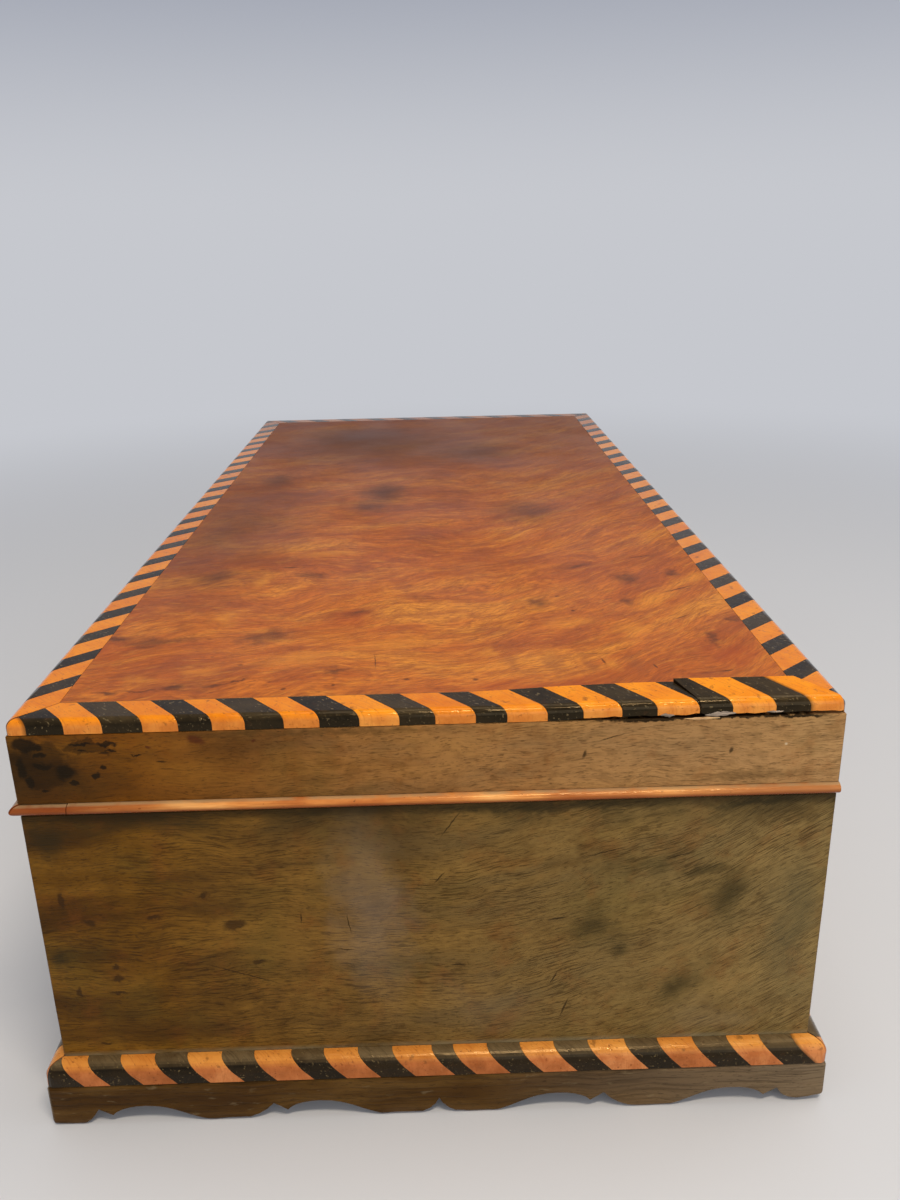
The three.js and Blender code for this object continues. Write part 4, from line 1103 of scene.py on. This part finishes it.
def add_prism(bm, rings, material_index=0):
    """A closed solid through rings of points. Returns its points, ring by ring."""
    placed = [[bm.verts.new(point) for point in ring] for ring in rings]
    count = len(placed[0])
    for near, far in zip(placed, placed[1:]):
        for k in range(count):
            face = bm.faces.new((near[k], near[(k + 1) % count], far[(k + 1) % count], far[k]))
            face.material_index = material_index
    for cap in (placed[0][::-1], placed[-1]):
        bm.faces.new(cap).material_index = material_index
    return placed


def mitre(bm, low, high, ends=(-1, 1)):
    """Cuts a side's strip to length at 45 degrees, at the ends that are asked for."""
    for end in ends:
        corner = Vector((high.x if end > 0 else low.x, high.y, 0))
        corner.x -= end * MITRE_GAP
        saw_through(bm, corner, Vector((end, -1, 0)), clear_outer=True)
        bmesh.ops.holes_fill(bm, edges=[edge for edge in bm.edges if edge.is_boundary], sides=0)


def banding(side, node, section, cuts, step):
    """The slices of one moulding between saw cuts. Step is how far inwards or up a point (out, up) lies."""
    low, high = extent(node, side)
    points = section(low, high)
    centre = Vector((sum(p[0] for p in points), sum(p[1] for p in points))) / len(points)
    pick = random.Random(f"{node} slices")
    bm = bmesh.new()
    seam = bm.verts.layers.float.new("seam")
    tone = bm.verts.layers.float.new("tone")
    middle = bm.verts.layers.float.new("middle")
    for (start, lean_start, wood), (end, lean_end, _) in zip(cuts, cuts[1:]):
        rise = [pick.uniform(-SLICE_UNEVEN, 0), pick.uniform(-SLICE_UNEVEN, 0)]
        shade = pick.uniform(0.15, 0.75)
        rings = []
        for share, sunk in SLICE_RINGS:
            ring = []
            for point in points:
                place = Vector(point)
                place += (centre - place).normalized() * sunk * GROOVE_DEPTH + Vector(rise)
                near = start + lean_start * step(point)
                far = end + lean_end * step(point)
                ring.append((near * (1 - share) + far * share, *place))
            rings.append(ring)
        for (_, sunk), ring in zip(SLICE_RINGS, add_prism(bm, rings, wood)):
            for vert in ring:
                vert[seam], vert[tone], vert[middle] = sunk, shade, (start + end) / 2
    mitre(bm, low, high)
    return turned(bm, side)


# %% [markdown]
# ## Base mouldings
# Four strips go round the base. Their corners have been knocked and stand out the furthest, so the round
# there is wide and well worn.

# %% Base mouldings
BASE_LEAN = 0.95
BASE_DARK_AT = {"back": 2.0 * MM, "front": 6.7 * MM, "left": 6.8 * MM}
BASE_DARK_SLICES = (
    (-78.2, -70.5), (-65.3, -58.8), (-52.0, -45.5), (-38.7, -32.2), (-24.8, -18.3), (-11.5, -4.6),
    (3.3, 7.6), (14.4, 21.0), (27.8, 34.7), (42.1, 48.7), (55.8, 62.7), (69.3, 75.7),
)
MOULDING_CORNER = 1.3 * MM
MOULDING_WEAR = 0.5 * MM
BASE_BOX = ring_box("base_moulding")

for side in TURN_OF_SIDE:
    node = f"base_moulding_{side}"
    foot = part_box(node)[0].z
    if side == "right":
        cuts = seen_cuts(BASE_DARK_SLICES, PLINTH_BOX[1].x, BASE_LEAN)
    else:
        cuts = even_cuts(node, PLINTH_BOX[1].x, BASE_DARK_AT[side], BASE_LEAN)
    strip = banding(side, node, base_section, cuts, lambda point: point[1] - foot)
    ease_edges(strip, *BASE_BOX, MOULDING_CORNER, (0, 1), MOULDING_WEAR)
    fit_piece(f"{side}_base_banding", strip, [ebonised["base"], satinwood["base"]], node, sharp=50)

# %% [markdown]
# ## The cracked lid moulding
# On the right-hand end the lid's moulding has broken along the edge of a dark slice, 48 mm from the
# middle. Damp has warped it there: its inner edge has risen off the board, by half a millimetre before
# the crack and by more than one after it, and its lower edge has torn away raggedly. It could be modelled
# on its own, but it is the same strip as the others. So it gets one cut more than its slices have, at a
# steeper angle, and then it is tilted about its outer foot.

# %% The lift and the torn edge
CRACK_AT = 48.55 * MM
CRACK_GAP = 0.12 * MM
LIFT_FROM = 5 * MM
LIFT_RUN = 22 * MM
LIFT = 0.65 * MM
LOOSE_LIFT = 1.25 * MM  # beyond the crack
LOOSE_FALL = 0.15 * MM  # how much less that is at the corner
FOOT_FROM = 20 * MM
FOOT_RUN = 20 * MM
FOOT_LIFT = 0.34 * MM
TORN_FROM = 27 * MM
TORN_IN = 1.4 * MM  # how far in from the face the lower edge is torn
TORN_BELOW = 0.4 * MM
TORN_DEPTH = 0.5 * MM


def gentle(share):
    """A share held between 0 and 1, with a soft start and end."""
    share = min(1.0, max(0.0, share))
    return share * share * (3 - 2 * share)


def torn(along):
    """How far the torn edge is eaten away at a place along it."""
    coarse = noise.noise((along / (2.6 * MM), 1.0, 0.0))
    fine = noise.noise((along / (0.8 * MM), 1.0, 5.0))
    return TORN_DEPTH * max(0.0, 0.45 + 0.7 * coarse + 0.3 * fine)


def warp(bm, low, high):
    """Lifts the inner edge of the right-hand end's moulding, opens its crack and tears its lower edge."""
    divide(bm, 1, TORN_FROM, high.y, 0.9 * MM)
    cut_across(bm, 0, high.x - TORN_IN)
    cut_across(bm, 2, low.z + 2 * TORN_BELOW)
    middle = bm.verts.layers.float["middle"]
    for vert in bm.verts:
        along = vert.co.y
        inward = (high.x - vert.co.x) / (high.x - low.x)
        outward = (vert.co.x - high.x + TORN_IN) / TORN_IN
        if along > TORN_FROM and outward > 0 and vert.co.z < low.z + TORN_BELOW:
            vert.co.z += torn(along) * outward
        if vert[middle] < -CRACK_AT:
            past = (along - CRACK_AT) / (high.y - CRACK_AT)
            vert.co.z += inward * (LOOSE_LIFT - LOOSE_FALL * past)
            vert.co.y += CRACK_GAP * max(0.0, 1 - past)
        else:
            vert.co.z += inward * LIFT * gentle((along - LIFT_FROM) / LIFT_RUN)
        vert.co.z += FOOT_LIFT * gentle((along - FOOT_FROM) / FOOT_RUN)


print("lift at the crack in mm:", round(LIFT / MM, 2), "and beyond it:", round(LOOSE_LIFT / MM, 2))

# %% [markdown]
# ## Lid mouldings
# The four strips that frame the field are sawn and glued like those of the base. Only the one on the
# right-hand end is warped.

# %% Lid mouldings
LID_LEAN = 0.87
CRACK_LEAN = 0.46
LID_DARK_AT = {"back": 5.2 * MM, "front": 2.7 * MM, "left": 0.0}
LID_DARK_SLICES = (
    (-71.1, -64.5), (-57.7, -50.6), (-44.3, -38.3), (-32.5, -25.6), (-19.3, -12.2), (-5.1, 1.3),
    (8.5, 14.1), (21.3, 27.7), (34.6, 40.9), (48.45, 54.3), (62.1, 68.3),
)

for side in TURN_OF_SIDE:
    node = f"lid_moulding_{side}"
    edge = extent(node, side)[1].y
    if side == "right":
        cuts = seen_cuts(LID_DARK_SLICES, LID_BOX[1].x, LID_LEAN)
        cuts = sorted([*cuts, (-CRACK_AT, CRACK_LEAN, DARK)])
    else:
        cuts = even_cuts(node, LID_BOX[1].x, LID_DARK_AT[side], LID_LEAN)
    strip = banding(side, node, lid_section, cuts, lambda point: edge - point[0])
    if side == "right":
        warp(strip, *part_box(node))
    ease_edges(strip, *LID_BOX, MOULDING_CORNER, (0, 1), MOULDING_WEAR)
    fit_piece(f"{side}_lid_banding", strip, [ebonised["lid"], satinwood["lid"]], node, sharp=50)

# %% [markdown]
# ## Bead
# A half-round strip hides the joint on three sides. It could be a bent tube, but a scratched bead is
# never even, so each ring of points wavers a little. Its ends at the back are sawn square, and on the
# right-hand end it has snapped near the front corner, where the short length sits a little low.

# %% Bead
BEAD_STEPS = 14
BEAD_CRACK = 65.8 * MM
BEAD_CRACK_GAP = 0.2 * MM
BEAD_DROP = 0.15 * MM
BEAD_SPACING = 5 * MM
BEAD_WAVER = 0.12 * MM
WAVER_LENGTH = 20 * MM
BEAD_PROUD = 1.3 * MM
BEAD_MITRES = {"front": (-1, 1), "right": (1,), "left": (-1,)}  # which ends of each side's bead are mitred

for side, ends in BEAD_MITRES.items():
    low, high = extent(f"bead_{side}", side)
    middle = (low.z + high.z) / 2
    half = (high.z - low.z) / 2
    angles = [math.pi * (i / BEAD_STEPS - 0.5) for i in range(BEAD_STEPS + 1)]
    nose = [(high.y - BEAD_PROUD * (1 - math.cos(a)), middle + half * math.sin(a)) for a in angles]
    section = [(low.y, low.z), *nose, (low.y, high.z)]
    lengths = [(low.x, high.x)]
    if side == "right":
        lengths = [(low.x, BEAD_CRACK), (BEAD_CRACK + BEAD_CRACK_GAP, high.x)]
    strip = bmesh.new()
    for start, end in lengths:
        count = max(2, round((end - start) / BEAD_SPACING))
        drop = BEAD_DROP if start > BEAD_CRACK else 0.0
        rings = []
        for i in range(count + 1):
            place = start + (end - start) * i / count
            waver = noise.noise((place / WAVER_LENGTH, TURN_OF_SIDE[side], 0))
            waver = BEAD_WAVER * min(0.0, waver) - drop
            ring = [(place, out + waver * 0.5, up + (waver if up > middle else 0)) for out, up in section]
            rings.append(ring)
        add_prism(strip, rings)
    mitre(strip, low, high, ends)
    fit_piece(f"{side}_bead", turned(strip, side), [pear_wood], f"bead_{side}", sharp=40)

# %% [markdown]
# ## Plinth
# The scalloped aprons come from the solids, sawn edge and all, with the outer edges eased. Their feet
# have been pushed over many tables, so they wear more than anything else. At the right-hand end's back
# corner the foot has crumbled away underneath, and there the lowest points are raised, most at the corner
# itself.

# %% Aprons
APRON_RADIUS = 0.7 * MM
APRON_WEAR = 0.8 * MM
CHIPPED_LENGTH = 12 * MM
CHIPPED_TOP = 2.2 * MM
CHIPPED_SPACING = 0.8 * MM
APRON_WOODS = (apron_side_wood, apron_end_wood)


def chip_foot(bm, axis, end):
    """Wears away the underside of a foot, most at its end."""
    divide(bm, axis, end - CHIPPED_LENGTH, end, CHIPPED_SPACING)
    divide(bm, 2, 0.0, CHIPPED_TOP, 0.7 * MM)
    for vert in bm.verts:
        share = 1 - (end - vert.co[axis]) / CHIPPED_LENGTH
        if share > 0 and vert.co.z < CHIPPED_TOP:
            crumbled = 0.5 + 0.5 * noise.noise((share * 8, 0.0, 7.0))
            worn = (0.75 + 1.2 * share ** 4 + 0.4 * crumbled) * MM * gentle(share * 5)
            vert.co.z += worn * (1 - vert.co.z / CHIPPED_TOP)


for side, length in AXIS_OF_SIDE.items():
    node = f"apron_{side}"
    apron = bench_copy(node)
    low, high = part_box(node)
    divide(apron, length, low[length], high[length], WEAR_SPACING)
    if side in ("right", "back"):
        chip_foot(apron, length, high[length])
    ease_edges(apron, *PLINTH_BOX, APRON_RADIUS, worn=APRON_WEAR)
    fit_piece(f"{side}_plinth_apron", apron, [APRON_WOODS[length]], node, sharp=30)

# %% [markdown]
# ## Splinters at the crack
# Where the moulding lifted it tore a sliver off the board, and old filler still clings to its lower edge.
# They could be dots of colour, but they catch the light and throw a shadow. So each is a thin blade that
# follows the crack.

# %% Splinters
BLADE_RINGS = 11
BLADE_TIP = 0.06  # how thick a blade's end is, as a share of its middle
FACE = Vector((LID_BOX[1].x / MM, 0, 0))

# name, the node it clings to, material, its two ends as (proud of the face, y, z), width and thickness
SPLINTERS = (
    ("torn_sliver", "lid_rail_right", fresh_wood, (-0.05, 45.6, 85.6), (-0.1, 52.4, 85.6), 0.6, 0.5),
    ("filler_crumb", "lid_moulding_right", filler, (0, 49.4, 86.3), (0, 55.0, 86.5), 0.9, 0.5),
    ("filler_chip", "lid_moulding_right", filler, (0.02, 41.4, 86.5), (0, 44.0, 86.35), 0.6, 0.4),
    ("filler_dab", "lid_moulding_right", filler, (0, 60.4, 86.6), (0, 63.6, 86.6), 0.4, 0.4),
)


def blade(start, end, width, thick):
    """A thin sliver from start to end, widest in the middle and a little crooked."""
    out, up = Vector((1, 0, 0)), Vector((0, 0, 1))
    rings = []
    for i in range(BLADE_RINGS):
        share = i / (BLADE_RINGS - 1)
        swell = max(BLADE_TIP, math.sin(math.pi * share) ** 0.7)
        wander = noise.noise((share * 4, start.y / MM, 1.0))
        middle = start.lerp(end, share) + up * wander * 0.25 * width * MM
        uneven = 1 + 0.5 * noise.noise((share * 7, start.x / MM, 4.0))
        tall = width / 2 * swell * uneven * MM
        deep = thick / 2 * swell * MM
        rings.append([middle + up * tall, middle + out * deep, middle - up * tall, middle - out * deep])
    bm = bmesh.new()
    add_prism(bm, rings)
    return bm


for name, node, wood, start, end, width, thick in SPLINTERS:
    bm = blade((FACE + Vector(start)) * MM, (FACE + Vector(end)) * MM, width, thick)
    piece = made_object(name, bm, [wood])
    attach(piece, BODY_OF[node])
print("splinters:", len(SPLINTERS))

# %% [markdown]
# ## Hinges, lock and the hidden woodwork
# These solids are right as they are. Round ones only need to shade as round, so each piece of metal is
# copied with its facets smoothed, and only edges that turn by more than 33 degrees stay hard. The hidden
# wood takes its material and nothing else.

# %% Metal and hidden parts
METAL_OF_SLOT = {"brass": brass, "steel": steel}

for node, slot in SLOT_OF.items():
    if slot in METAL_OF_SLOT:
        fit_piece(f"{node}_finished", bench_copy(node), [METAL_OF_SLOT[slot]], node, sharp=33)
    elif slot == "secondary_wood":
        frame["nodes"][node].data.materials.clear()
        frame["nodes"][node].data.materials.append(softwood)

# %% [markdown]
# ## The colour view
# Nothing here may grow far past the solids. Only the lifted moulding stands higher than its solid.
# Colours are shown as they are written, with the standard view transform.

# %% Colour view
bpy.context.scene.view_settings.view_transform = "Standard"
